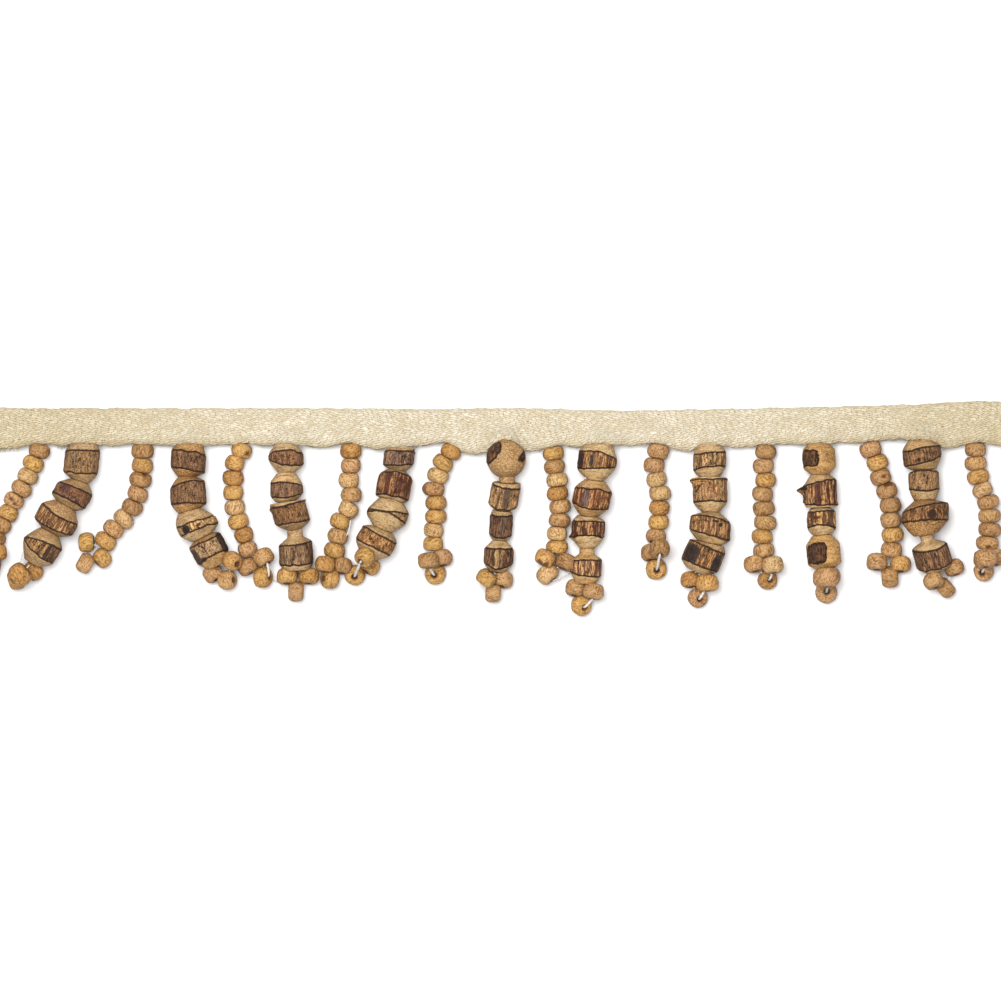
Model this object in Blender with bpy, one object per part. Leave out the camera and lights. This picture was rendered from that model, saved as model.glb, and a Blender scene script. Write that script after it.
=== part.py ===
"""Beaded fringe trim: a cut length lying on its back, in metres, +Z up.

A cotton herringbone tape is folded lengthwise, with the fold at +Y, and nineteen threads are sewn in
between its two layers. Threads with small round beads alternate with threads that carry four slices
of twig. Each thread turns back through a loop of three small beads, a picot.
All tables are in millimetres. x runs along the tape and y towards its fold, as seen from above.
"""
import math

import bmesh
import bpy
from mathutils import Vector

# Driving dimensions, in millimetres
LAYER = 1.0                # thickness of one layer of tape
INNER_GAP = 1.5            # between the two layers, where the threads lie
THREAD_D = 0.6
BEAD_D = 5.9               # small round bead
BEAD_LENGTH = 4.1
PICOT_BEAD_D = 5.7
PICOT_BEAD_LENGTH = 3.9
MIDDLE_SLOPE = 0.6         # how much of the climb between its neighbours a picot's middle bead takes
SHOULDER = 0.56            # where a small bead's round ends begin, as a share of its half length
BORE_D = 2.1               # hole through a bark bead
CLEARANCE = 0.36           # between solids that touch on the real trim
FLAT_SHARE = 0.3           # share of the tape's width, from the fold, that lies flat

TAPE_HEIGHT = 2 * LAYER + INNER_GAP
FOLD_R = TAPE_HEIGHT / 2
MID_GAP_Z = TAPE_HEIGHT / 2
FLOOR_CLEARANCE = 0.03
LEAST_STEP = 0.4           # between two rings of a bark bead
ORIGIN = (-2.64, -0.69)        # the middle of the whole trim, in the tables' x and y
MM = 0.001

THREAD_SIDES = 4
BEAD_SIDES = 8
BARK_SIDES = 12
WIDTH_STEPS = (0.0, 0.3, 0.52, 0.76, 1.0)
FOLD_STEPS = 4

# The tape's outline: x, fold (top edge), edge (open lower edge)
TAPE = (
    (-146.7, 28.9, 17.3),
    (-139.6, 28.8, 17.5),
    (-131.6, 28.6, 18.8),
    (-125.3, 28.7, 18.4),
    (-118.8, 28.7, 18.7),
    (-111.0, 28.7, 18.2),
    (-102.1, 28.7, 18.8),
    (-95.8, 28.7, 18.3),
    (-88.7, 28.7, 18.6),
    (-81.5, 28.7, 18.2),
    (-73.8, 28.7, 19.0),
    (-67.5, 28.7, 18.4),
    (-61.3, 28.7, 18.8),
    (-51.5, 28.7, 17.7),
    (-42.6, 28.6, 18.9),
    (-35.8, 28.6, 17.4),
    (-28.3, 28.5, 17.8),
    (-21.5, 28.4, 18.3),
    (-14.0, 28.5, 18.6),
    (-9.4, 28.6, 15.9),
    (-4.2, 28.7, 16.5),
    (1.6, 28.7, 19.5),
    (7.0, 28.7, 16.5),
    (11.4, 28.6, 17.2),
    (15.3, 28.5, 18.2),
    (21.5, 28.3, 17.9),
    (28.2, 28.1, 18.6),
    (36.3, 28.0, 18.3),
    (45.3, 28.1, 18.7),
    (52.9, 28.3, 16.8),
    (59.8, 28.4, 18.6),
    (68.1, 28.5, 17.6),
    (75.9, 28.7, 18.6),
    (83.2, 28.9, 18.5),
    (90.9, 29.0, 18.9),
    (98.7, 29.2, 19.2),
    (106.1, 29.4, 19.3),
    (113.3, 29.6, 20.0),
    (120.0, 29.8, 19.7),
    (128.7, 30.4, 17.6),
    (136.1, 30.7, 19.3),
    (143.0, 30.6, 18.2),
    (146.7, 30.5, 18.1),
)

# Small strands: number, x of the root, bead pitch, sideways drift of each bead from the root
SMALL_STRANDS = (
    (1, -131.6, 3.97, (0, -1.7, -3.3, -5.1, -7.3, -8.9, -10.9, -12.6)),
    (3, -102.1, 4.12, (0, -0.1, -0.6, -1.4, -3.0, -5.4, -8.3, -10.6)),
    (5, -73.8, 4.20, (0, -2.0, -2.4, -2.4, -2.0, -0.9, 0.7, 1.7)),
    (7, -42.6, 4.23, (0, 0, -0.6, 0.1, -0.7, -3.1, -3.7, -4.7)),
    (9, -14.0, 3.95, (0, -2.3, -3.7, -5.0, -4.3, -4.3, -4.9, -5.1)),
    (11, 15.3, 3.86, (0, 0.3, 1.1, 1.1, 1.9, 1.7, 1.0, 0.9)),
    (13, 45.3, 4.12, (0, -1.3, -0.6, 0.4, 0.3, 0, -0.7)),
    (15, 75.9, 4.09, (0, -0.6, 0, -0.9, -0.6, -0.1, -1.0, -0.6)),
    (17, 106.1, 4.26, (0, 2.0, 2.9, 4.7, 5.7, 5.7, 6.3, 6.0)),
    (19, 136.1, 3.92, (0, 0, 0.7, 2.0, 3.6, 4.0, 4.1, 3.4)),
)

# Bark strands: number, x of the root, then four beads from the top, each with
# drift of its lower end, length, top_d, band_from, body_d, band_to, bottom_d.
# The band of bark runs from band_from to band_to, as shares of the length.
BARK_STRANDS = (
    (2, -118.8, (
        (-1.3, 10.9, 7.4, 0.16, 9.7, 0.78, 5.1),
        (-5.3, 8.0, 5.7, 0.30, 10.6, 0.78, 6.3),
        (-9.6, 8.6, 6.9, 0.38, 12.0, 0.85, 6.3),
        (-14.9, 10.4, 5.7, 0.25, 10.9, 0.68, 4.9))),
    (4, -88.7, (
        (-0.6, 9.3, 7.4, 0.22, 9.7, 0.85, 5.7),
        (0.1, 9.9, 5.1, 0.20, 10.0, 0.83, 6.3),
        (3.9, 8.3, 6.9, 0.40, 11.7, 0.70, 6.9),
        (7.6, 9.1, 5.7, 0.12, 10.3, 0.75, 5.7))),
    (6, -61.3, (
        (0.4, 8.3, 5.1, 0.25, 10.0, 0.72, 5.1),
        (1.0, 8.4, 4.9, 0.35, 9.3, 0.78, 5.4),
        (2.7, 8.3, 9.5, 0.10, 10.0, 0.78, 4.0),
        (3.4, 11.6, 4.4, 0.37, 9.2, 0.83, 7.1))),
    (8, -28.3, (
        (-1.1, 6.9, 6.9, 0.20, 8.6, 0.80, 4.6),
        (-2.7, 8.7, 5.7, 0.16, 9.2, 0.90, 6.9),
        (-5.0, 8.7, 6.9, 0.36, 11.7, 0.52, 5.7),
        (-9.0, 9.2, 6.9, 0.18, 10.9, 0.62, 4.0))),
    (10, 1.6, (
        (0.4, 12.3, 4.2, 0.10, 11.1, 0.78, 4.6),
        (-1.0, 8.3, 7.6, 0.10, 8.2, 0.84, 4.3),
        (-1.7, 8.7, 5.4, 0.12, 6.4, 0.85, 4.0),
        (-2.3, 9.0, 4.3, 0.22, 8.0, 0.85, 4.6))),
    (12, 28.2, (
        (-1.0, 10.5, 7.7, 0.22, 10.9, 0.68, 4.9),
        (-2.7, 10.3, 6.0, 0.18, 10.6, 0.75, 5.1),
        (-3.0, 9.2, 6.3, 0.12, 9.2, 0.62, 4.6),
        (-3.5, 10.3, 4.3, 0.31, 8.6, 0.76, 5.4))),
    (14, 59.8, (
        (0.3, 9.6, 6.0, 0.28, 9.2, 0.68, 5.7),
        (0.6, 10.0, 9.0, 0.08, 9.5, 0.72, 4.9),
        (0.1, 8.7, 5.1, 0.17, 11.7, 0.80, 6.9),
        (-3.3, 9.0, 8.6, 0.12, 10.9, 0.70, 6.2))),
    (16, 90.9, (
        (0.4, 9.0, 5.1, 0.23, 9.4, 0.77, 5.4),
        (0.7, 9.4, 5.4, 0.22, 9.2, 0.90, 8.4),
        (1.0, 8.0, 5.4, 0.14, 8.0, 0.70, 4.9),
        (2.0, 9.6, 5.7, 0.27, 9.6, 0.83, 5.7))),
    (18, 120.0, (
        (1.1, 8.5, 6.6, 0.25, 10.9, 0.75, 7.1),
        (1.6, 8.9, 5.7, 0.12, 8.4, 0.68, 6.0),
        (1.7, 9.7, 6.0, 0.16, 13.2, 0.62, 7.1),
        (4.8, 11.0, 3.8, 0.35, 9.9, 0.85, 6.2))),
)
# Turned stubs at a bark bead's end: (strand, bead) to share of the length at its top or bottom
TOP_NECKS = {(6, 4): 0.18, (12, 4): 0.16, (18, 4): 0.17}
BOTTOM_NECKS = {(10, 1): 0.14}
BALL = (10, 1)             # the one bead turned to a ball

# Picots: strand, then the three beads in the order the thread meets them, each with
# x and y from the strand's end and the least height z of the bead's middle
PICOTS = (
    (1, (-4.0, -2.6, 3.0), (0.4, -7.4, 3.0), (1.5, -2.6, 5.6)),
    (2, (1.7, -4.1, 3.0), (-4.6, -5.4, 3.0), (-2.2, -2.6, 7.3)),
    (3, (0.5, -3.0, 3.0), (-4.9, -4.7, 3.0), (-4.4, 1.2, 3.0)),
    (4, (-0.4, -2.8, 3.0), (3.8, -5.6, 3.0), (4.4, -0.6, 7.2)),
    (5, (4.0, -0.6, 3.0), (4.0, -6.2, 3.0), (-0.9, -3.7, 3.0)),
    (6, (-2.8, -2.9, 3.0), (0.0, -7.6, 3.0), (3.5, -2.6, 3.0)),
    (7, (2.8, -2.5, 3.0), (-0.4, -6.9, 3.0), (-2.2, -2.4, 5.9)),
    (8, (-1.1, -3.2, 3.0), (-4.1, -6.9, 3.0), (-2.4, -1.6, 8.7)),
    (9, (3.0, -2.2, 3.0), (1.0, -7.2, 3.0), (-0.9, -2.7, 7.5)),
    (10, (1.6, -2.7, 3.0), (-1.8, -6.6, 3.0), (-4.4, -1.3, 3.0)),
    (11, (1.3, -2.5, 3.0), (-2.1, -6.9, 3.0), (-3.4, -2.2, 6.6)),
    (12, (-3.6, -2.6, 3.0), (-1.3, -7.6, 3.0), (2.3, -2.7, 3.0)),
    (13, (-1.6, -2.5, 3.0), (0.4, -7.4, 3.0), (1.9, -2.3, 7.8)),
    (14, (-2.6, -2.4, 3.0), (-0.2, -7.7, 3.0), (3.2, -3.4, 5.3)),
    (15, (-3.0, -2.4, 3.0), (0.8, -6.9, 3.0), (1.9, -2.2, 6.2)),
    (16, (2.9, -2.7, 3.0), (0.3, -7.4, 3.0), (-1.4, -2.7, 7.5)),
    (17, (2.3, -2.5, 3.0), (-0.2, -7.2, 3.0), (-4.3, -1.6, 3.0)),
    (18, (-0.2, -2.9, 5.2), (2.8, -7.0, 3.0), (5.2, -0.5, 3.0)),
    (19, (2.6, -2.6, 3.0), (-0.1, -7.4, 3.0), (-0.9, -2.5, 7.9)),
)

# Picots whose middle bead is tipped up and points away from the strand
TIPPED_MIDDLES = {8: (-0.5, -0.6, 0.6), 13: (0.3, -0.7, 0.6)}

# Colours and roughness of each material
CREAM = ((0.79, 0.71, 0.54), 0.95)
WHITE = ((0.86, 0.83, 0.76), 0.8)
TAN = ((0.57, 0.33, 0.13), 0.62)
BARK = ((0.16, 0.095, 0.055), 0.85)


def clear_scene():
    for item in list(bpy.data.objects):
        bpy.data.objects.remove(item, do_unlink=True)


def finish_material(name, look):
    """A Principled material of its own for each solid."""
    colour, roughness = look
    made = bpy.data.materials.new(name)
    made.use_nodes = True
    shader = made.node_tree.nodes["Principled BSDF"]
    shader.inputs["Base Color"].default_value = (*colour, 1.0)
    shader.inputs["Roughness"].default_value = roughness
    shader.inputs["Metallic"].default_value = 0.0
    return made


def add_object(name, bm, look, parent):
    """Puts a closed mesh in the scene, with its faces pointing out."""
    bmesh.ops.recalc_face_normals(bm, faces=bm.faces)
    mesh = bpy.data.meshes.new(name)
    bm.to_mesh(mesh)
    bm.free()
    mesh.shade_smooth()
    mesh.set_sharp_from_angle(angle=math.radians(40))
    mesh.materials.append(finish_material(name, look))
    made = bpy.data.objects.new(name, mesh)
    bpy.context.collection.objects.link(made)
    made.parent = parent
    return made


def interpolate(x, rows, column):
    """A value between the rows of a table, by straight lines along x."""
    if x <= rows[0][0]:
        return rows[0][column]
    for low, high in zip(rows, rows[1:]):
        if x <= high[0]:
            share = (x - low[0]) / (high[0] - low[0])
            return low[column] + (high[column] - low[column]) * share
    return rows[-1][column]


def tape_edge(x):
    """y of the tape's open edge, which rides over the turned ball."""
    edge = interpolate(x, TAPE, 2)
    number, root_x, beads = next(row for row in BARK_STRANDS if row[0] == BALL[0])
    ball_r = beads[0][4] / 2
    middle_y = interpolate(root_x, TAPE, 2) - CLEARANCE - ball_r
    reach = ball_r + 2 * CLEARANCE
    across = abs(x - root_x)
    if across < reach:
        edge = max(edge, middle_y + math.sqrt(reach ** 2 - across ** 2))
    return edge


def ring(bm, centre, axis, side, radius, count):
    """One ring of points round an axis, in millimetres; side is where its first point lies."""
    other = axis.cross(side)
    points = []
    for k in range(count):
        angle = 2 * math.pi * k / count
        spoke = side * math.cos(angle) + other * math.sin(angle)
        points.append(bm.verts.new((centre + spoke * radius) * MM))
    return points


def join_rings(bm, first, second):
    """Faces between two rings, of which one may have twice the other's points."""
    if len(first) > len(second):
        first, second = second, first
    count = len(first)
    if count == len(second):
        for k in range(count):
            after = (k + 1) % count
            bm.faces.new((first[k], first[after], second[after], second[k]))
        return
    for k in range(count):
        after = (k + 1) % count
        near, between, far = (second[(2 * k + j) % len(second)] for j in range(3))
        bm.faces.new((first[k], between, near))
        bm.faces.new((first[k], first[after], between))
        bm.faces.new((first[after], far, between))


def turn_to(side, old_axis, new_axis):
    """Carries a ring's first point round a bend without twisting."""
    side = old_axis.rotation_difference(new_axis) @ side
    return (side - new_axis * side.dot(new_axis)).normalized()


def strung_mesh(stations):
    """A closed skin along a thread and over its beads; a station is centre, axis, radius, points."""
    bm = bmesh.new()
    axis = stations[0][1]
    side = axis.orthogonal().normalized()
    previous = None
    for centre, new_axis, radius, count in stations:
        side = turn_to(side, axis, new_axis)
        axis = new_axis
        points = ring(bm, centre, axis, side, radius, count)
        if previous is None:
            bm.faces.new(points)
        else:
            join_rings(bm, previous, points)
        previous = points
    bm.faces.new(previous)
    return bm


def bead_stations(centre, axis, diameter, length):
    """The rings of one small bead on its thread: a mouth, two shoulders and a mouth."""
    radius, half = diameter / 2, length / 2
    shape = (
        (-0.97, 0.16, THREAD_SIDES),
        (-SHOULDER, 1.0, BEAD_SIDES),
        (SHOULDER, 1.0, BEAD_SIDES),
        (0.97, 0.16, THREAD_SIDES),
    )
    return [(centre + axis * half * at, axis, radius * share, count) for at, share, count in shape]


def thread_station(point, axis):
    return (point, axis, THREAD_D / 2, THREAD_SIDES)


def layer_lift(share, lift):
    """How far the tape is off the floor, by the share of its width from the fold."""
    run = max(0.0, (share - FLAT_SHARE) / (1 - FLAT_SHARE))
    return lift * run * run * (3 - 2 * run)


def root_stations(x, lift):
    """A thread's hidden end, which follows the space between the layers down to the edge."""
    edge = tape_edge(x)
    width = interpolate(x, TAPE, 1) - FOLD_R - edge
    points = [
        Vector((x, edge + width * (1 - share), MID_GAP_Z + layer_lift(share, lift)))
        for share in WIDTH_STEPS[1:]
    ]
    stations = []
    for k, point in enumerate(points):
        ahead = points[min(k + 1, len(points) - 1)]
        behind = points[max(k - 1, 0)]
        stations.append(thread_station(point, (ahead - behind).normalized()))
    return stations


def small_bead_centres(strand):
    """The middles of a small strand's beads, strung one against the other from the tape's edge."""
    number, root_x, pitch, drifts = strand
    z = BEAD_D / 2 + FLOOR_CLEARANCE
    y = tape_edge(root_x) - CLEARANCE - BEAD_LENGTH / 2
    centres = [Vector((root_x + drifts[0], y, z))]
    for before, after in zip(drifts, drifts[1:]):
        y -= math.sqrt(pitch ** 2 - (after - before) ** 2)
        centres.append(Vector((root_x + after, y, z)))
    return centres


def small_bead_axes(strand, centres):
    """Each bead's axis runs between its two neighbours; the first hangs from the tape's edge."""
    root = Vector((strand[1], tape_edge(strand[1]), centres[0].z))
    line = [root] + centres + [centres[-1] * 2 - centres[-2]]
    return [(after - before).normalized() for before, after in zip(line, line[2:])]


def bark_joints(strand):
    """The points where a bark strand's thread bends: above, between and below its beads."""
    number, root_x, beads = strand
    radii = [row[4] / 2 for row in beads]
    heights = [radii[0]]
    heights += [(a + b) / 2 for a, b in zip(radii, radii[1:])]
    heights.append(radii[-1])
    for _ in range(12):
        for k, row in enumerate(beads):
            for share in (row[3], row[5]):
                z = heights[k] + (heights[k + 1] - heights[k]) * share
                short = radii[k] + FLOOR_CLEARANCE - z
                if short > 0:
                    heights[k] += short
                    heights[k + 1] += short
    x, y = root_x, tape_edge(root_x) - CLEARANCE / 2
    joints = [Vector((x, y, heights[0]))]
    for row, low, high in zip(beads, heights, heights[1:]):
        drift, length = row[0], row[1]
        along = drift - (x - root_x)
        x = root_x + drift
        y -= math.sqrt(length ** 2 - along ** 2 - (high - low) ** 2)
        joints.append(Vector((x, y, high)))
    return joints


def bark_profile(key, row, span):
    """A bark bead's outline, as (distance along, radius) pairs from its top to its bottom."""
    drift, length, top_d, band_from, body_d, band_to, bottom_d = row
    start, stop = span
    body_r = body_d / 2
    if key == BALL:
        middle = start + body_r
        neck_at = stop - BOTTOM_NECKS[key] * length
        outline = []
        for degrees in (-68, -35, 0, 35, 62):
            angle = math.radians(degrees)
            outline.append((middle + body_r * math.sin(angle), body_r * math.cos(angle)))
        return outline + [(neck_at, bottom_d / 2), (stop, bottom_d / 2)]
    outline = [(start, top_d / 2)]
    if key in TOP_NECKS:
        outline.append((TOP_NECKS[key] * length, top_d / 2))
    first = max(band_from * length, start + LEAST_STEP)
    last = min(band_to * length, stop - LEAST_STEP)
    return outline + [(first, body_r), (last, body_r), (stop, bottom_d / 2)]


def end_setback(before, after, radius):
    """How far two beads' ends stay from the bend between them, so that their rims stay apart."""
    bend = before.angle(after)
    return CLEARANCE / 2 + radius * math.tan(bend / 2)


def top_setback(root_x, axis, radius):
    """How far the first bead's end stays from the thread's root, so that it clears the tape."""
    sides = (tape_edge(root_x - radius), tape_edge(root_x + radius))
    fall = max(0.0, tape_edge(root_x) - min(sides))
    bend = axis.angle(Vector((0, -1, 0)))
    return CLEARANCE / 2 + fall + radius * math.tan(bend)


def bark_bead_mesh(base, axis, outline):
    """A turned bead with a hole along its axis."""
    bm = bmesh.new()
    side = axis.orthogonal().normalized()
    start, stop = outline[0][0], outline[-1][0]
    loop = list(outline) + [(stop, BORE_D / 2), (start, BORE_D / 2)]
    rings = [ring(bm, base + axis * at, axis, side, radius, BARK_SIDES) for at, radius in loop]
    for k, points in enumerate(rings):
        join_rings(bm, points, rings[(k + 1) % len(rings)])
    return bm


def picot_stations(number, end, end_axis):
    """The thread's loop through three beads, from the strand's end nearly back to it."""
    beads = next(row[1:] for row in PICOTS if row[0] == number)
    middles = [Vector((end.x + x, end.y + y, z)) for x, y, z in beads]
    stops = [end] + middles + [end]
    ways = [after - before for before, after in zip(stops, stops[2:])]
    ways[1].z *= MIDDLE_SLOPE
    if number in TIPPED_MIDDLES:
        ways[1] = Vector(TIPPED_MIDDLES[number])
    axes = [way.normalized() for way in ways]
    half = PICOT_BEAD_LENGTH / 2
    stations = []
    last_point, last_axis = end, end_axis
    for middle, axis in zip(middles, axes):
        level = math.hypot(axis.x, axis.y) * PICOT_BEAD_D / 2
        lowest = level + abs(axis.z) * half * SHOULDER
        middle.z = max(middle.z, lowest + FLOOR_CLEARANCE)
        mouth = middle - axis * half * 0.97
        way = (mouth - last_point)
        if way.length > THREAD_D:
            turn = (last_axis + way.normalized()).normalized()
            stations.append(thread_station(last_point + last_axis * THREAD_D * 0.6, turn))
            bend = (way.normalized() + axis).normalized()
            stations.append(thread_station(mouth - axis * THREAD_D * 0.5, bend))
        stations += bead_stations(middle, axis, PICOT_BEAD_D, PICOT_BEAD_LENGTH)
        last_point, last_axis = middle + axis * half * 0.97, axis
    return stations


def build_tape(parent):
    """The folded tape: sections of a U laid on its side, joined along x."""
    heights = {}
    for number, root_x, pitch, drifts in SMALL_STRANDS:
        heights[root_x] = BEAD_D / 2 - MID_GAP_Z
    for strand in BARK_STRANDS:
        heights[strand[1]] = bark_joints(strand)[0].z - MID_GAP_Z
    lifts = sorted(heights.items())
    ball_row = next(row for row in BARK_STRANDS if row[0] == BALL[0])
    ball_r = ball_row[2][0][4] / 2
    shoulders = [ball_row[1] + side * ball_r * share for side in (-1, 1) for share in (0.55, 0.85)]
    places = sorted([row[0] for row in TAPE] + shoulders)
    bm = bmesh.new()
    previous = None
    for x in places:
        fold = interpolate(x, TAPE, 1)
        edge = tape_edge(x)
        lift = interpolate(x, lifts, 1)
        middle = fold - FOLD_R
        width = middle - edge
        levels = [(middle - width * share, layer_lift(share, lift)) for share in WIDTH_STEPS]
        section = [(y, rise) for y, rise in reversed(levels)]
        for k in range(1, FOLD_STEPS):
            angle = math.pi * k / FOLD_STEPS
            section.append((middle + FOLD_R * math.sin(angle), FOLD_R * (1 - math.cos(angle))))
        section += [(y, TAPE_HEIGHT + rise) for y, rise in levels]
        section += [(y, TAPE_HEIGHT - LAYER + rise) for y, rise in reversed(levels)]
        section.append((middle + INNER_GAP / 2, FOLD_R))
        section += [(y, LAYER + rise) for y, rise in levels]
        points = [bm.verts.new(Vector((x, y, z)) * MM) for y, z in section]
        if previous is None:
            bm.faces.new(points)
        else:
            join_rings(bm, previous, points)
        previous = points
    bm.faces.new(previous)
    return add_object("header_tape", bm, CREAM, parent)


def build_small_strand(strand, parent):
    """Small beads on their thread, with the picot at the end, as one solid."""
    number = strand[0]
    centres = small_bead_centres(strand)
    lift = BEAD_D / 2 - MID_GAP_Z
    stations = root_stations(strand[1], lift)
    for centre, axis in zip(centres, small_bead_axes(strand, centres)):
        stations += bead_stations(centre, axis, BEAD_D, strand[2])
    end = centres[-1] + axis * BEAD_LENGTH / 2
    stations += picot_stations(number, end, axis)
    return add_object(f"small_strand_{number:02d}", strung_mesh(stations), TAN, parent)


def build_bark_strand(strand, parent):
    """Four bark beads, and their thread with its picot as a solid of its own."""
    number, root_x, beads = strand
    joints = bark_joints(strand)
    runs = [(after - before) for before, after in zip(joints, joints[1:])]
    axes = [run.normalized() for run in runs]
    stations = root_stations(root_x, joints[0].z - MID_GAP_Z)
    for k, row in enumerate(beads):
        start = top_setback(root_x, axes[0], row[2] / 2)
        stop = runs[k].length - CLEARANCE / 2
        if k > 0:
            rim = max(row[2], beads[k - 1][6]) / 2
            start = end_setback(axes[k - 1], axes[k], rim)
        if k < len(beads) - 1:
            rim = max(row[6], beads[k + 1][2]) / 2
            stop = runs[k].length - end_setback(axes[k], axes[k + 1], rim)
            bend = (axes[k] + axes[k + 1]).normalized()
            stations.append(thread_station(joints[k + 1], bend))
        outline = bark_profile((number, k + 1), row, (start, stop))
        bm = bark_bead_mesh(joints[k], axes[k], outline)
        add_object(f"bark_bead_{number:02d}_{k + 1}", bm, BARK, parent)
    stations.append(thread_station(joints[-1], axes[-1]))
    stations += picot_stations(number, joints[-1], axes[-1])
    name = f"thread_and_picot_{number:02d}"
    return add_object(name, strung_mesh(stations), WHITE, parent)


def build_trim():
    clear_scene()
    trim = bpy.data.objects.new("trim", None)
    bpy.context.collection.objects.link(trim)
    trim.location = (-ORIGIN[0] * MM, -ORIGIN[1] * MM, 0.0)
    build_tape(trim)
    for strand in SMALL_STRANDS:
        build_small_strand(strand, trim)
    for strand in BARK_STRANDS:
        build_bark_strand(strand, trim)


build_trim()
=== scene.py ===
# %% [markdown]
# # Beaded fringe trim
# A cut length of trim lies on its back on a pale floor, seen from straight above. A cream
# herringbone tape is folded lengthwise. Nineteen threads hang from it: ten with small round wooden
# beads, nine with slices of twig that keep a band of their bark. Each thread ends in a picot, a
# little loop of three small beads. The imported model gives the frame, and each of its solids is
# replaced here by a finer piece in the same place.

# %% Load the frame
import math
from functools import partial, reduce
import bpy
import numpy as np
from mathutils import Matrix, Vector


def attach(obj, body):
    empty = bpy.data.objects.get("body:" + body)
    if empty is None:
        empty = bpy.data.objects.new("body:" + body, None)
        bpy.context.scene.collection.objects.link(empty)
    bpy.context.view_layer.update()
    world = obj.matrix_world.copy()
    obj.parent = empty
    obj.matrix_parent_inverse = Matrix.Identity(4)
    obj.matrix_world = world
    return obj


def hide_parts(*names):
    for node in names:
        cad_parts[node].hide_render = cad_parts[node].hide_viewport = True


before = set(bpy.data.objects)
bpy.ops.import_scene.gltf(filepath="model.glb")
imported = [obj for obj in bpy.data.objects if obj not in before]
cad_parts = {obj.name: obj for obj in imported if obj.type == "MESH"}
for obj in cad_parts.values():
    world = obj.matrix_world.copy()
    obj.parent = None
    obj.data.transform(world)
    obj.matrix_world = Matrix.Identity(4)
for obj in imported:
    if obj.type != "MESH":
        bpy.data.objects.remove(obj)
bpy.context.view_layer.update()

print("solids in the frame:", len(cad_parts))

# %% [markdown]
# ## The set: camera, floor and light
# The trim was laid on white and lit from all sides, so its shadows are short and faint. A bright
# surround does most of that. One large soft lamp towards the tape adds just enough direction for
# the beads to look round. A very long lens far above keeps the view free of perspective.

# %% Camera straight above
MM = 0.001
ORIGIN = (-2.64, -0.69)    # the frame's origin in the tables' x and y, in millimetres
VIEW_CENTRE = (0.14, 2.29)  # where the view is aimed, in the same x and y
VIEW_WIDTH = 286.3         # millimetres of floor that the view takes in
CAMERA_HEIGHT = 3.0        # metres

camera_data = bpy.data.cameras.new("camera")
camera_data.sensor_width = 36.0
camera_data.lens = 36.0 * CAMERA_HEIGHT / (VIEW_WIDTH * MM)
camera_data.clip_end = 20.0
camera = bpy.data.objects.new("camera", camera_data)
bpy.context.collection.objects.link(camera)
camera.location = ((VIEW_CENTRE[0] - ORIGIN[0]) * MM, (VIEW_CENTRE[1] - ORIGIN[1]) * MM, CAMERA_HEIGHT)
bpy.context.scene.camera = camera
print("lens:", round(camera_data.lens, 1), "mm")

# %% Surround and soft lamps
bpy.context.scene.view_settings.view_transform = "Standard"
world = bpy.data.worlds.new("studio")
bpy.context.scene.world = world
world.use_nodes = True
world.node_tree.nodes["Background"].inputs["Color"].default_value = (1.0, 0.99, 0.975, 1.0)
world.node_tree.nodes["Background"].inputs["Strength"].default_value = 0.32


def soft_lamp(name, place, size, watts):
    """A square lamp that faces the middle of the trim."""
    data = bpy.data.lights.new(name, "AREA")
    data.size = size
    data.energy = watts
    lamp = bpy.data.objects.new(name, data)
    bpy.context.collection.objects.link(lamp)
    lamp.location = place
    lamp.rotation_euler = (-Vector(place)).to_track_quat("-Z", "Y").to_euler()
    return lamp


lamps = [soft_lamp("key_lamp", (-0.24, 0.28, 1.6), 0.9, 33.0),
         soft_lamp("fill_lamp", (0.6, -0.4, 1.4), 0.8, 4.0)]
print("lamps:", [(lamp.name, lamp.data.energy) for lamp in lamps])

# %% Floor
floor_mesh = bpy.data.meshes.new("floor")
floor_mesh.from_pydata([(-3, -3, 0), (3, -3, 0), (3, 3, 0), (-3, 3, 0)], [], [(0, 1, 2, 3)])
floor = bpy.data.objects.new("floor", floor_mesh)
bpy.context.collection.objects.link(floor)
floor_paint = bpy.data.materials.new("pale_floor")
floor_paint.use_nodes = True
floor_shader = floor_paint.node_tree.nodes["Principled BSDF"]
floor_shader.inputs["Base Color"].default_value = (0.93, 0.93, 0.93, 1.0)
floor_shader.inputs["Roughness"].default_value = 0.9
floor_shader.inputs["Specular IOR Level"].default_value = 0.1
floor_mesh.materials.append(floor_paint)
print("floor corners:", [corner.co[:] for corner in floor_mesh.vertices])

# %% [markdown]
# ## Short words for nodes
# Every finish below is made of nodes, with a few small helpers to keep each one readable. A node
# goes into the tree of whatever feeds it, so no helper has to be told the tree. Colours are written
# as the values 0 to 255 that a colour picker shows, and turned into the shader's linear values.

# %% Node helpers


def tone(red, green, blue):
    """A picked colour, each part from 11 to 255, as a linear colour."""
    return (*(((part / 255 + 0.055) / 1.055) ** 2.4 for part in (red, green, blue)), 1.0)


def node(kind, inputs, tree=None, **settings):
    """Adds a node; inputs maps a socket's name or number to a value or another node's output."""
    linked = {key: value for key, value in inputs.items() if isinstance(value, bpy.types.NodeSocket)}
    tree = tree or next(iter(linked.values())).id_data
    made = tree.nodes.new("ShaderNode" + kind)
    for key, value in settings.items():
        setattr(made, key, value)
    for key, value in inputs.items():
        if key in linked:
            tree.links.new(value, made.inputs[key])
        else:
            made.inputs[key].default_value = value
    return made


def maths(operation, *terms):
    """One step of arithmetic."""
    return node("Math", dict(enumerate(terms)), operation=operation).outputs[0]


def vector_maths(operation, *terms):
    """One step of arithmetic on places or colours."""
    return node("VectorMath", dict(enumerate(terms)), operation=operation).outputs[0]


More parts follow.
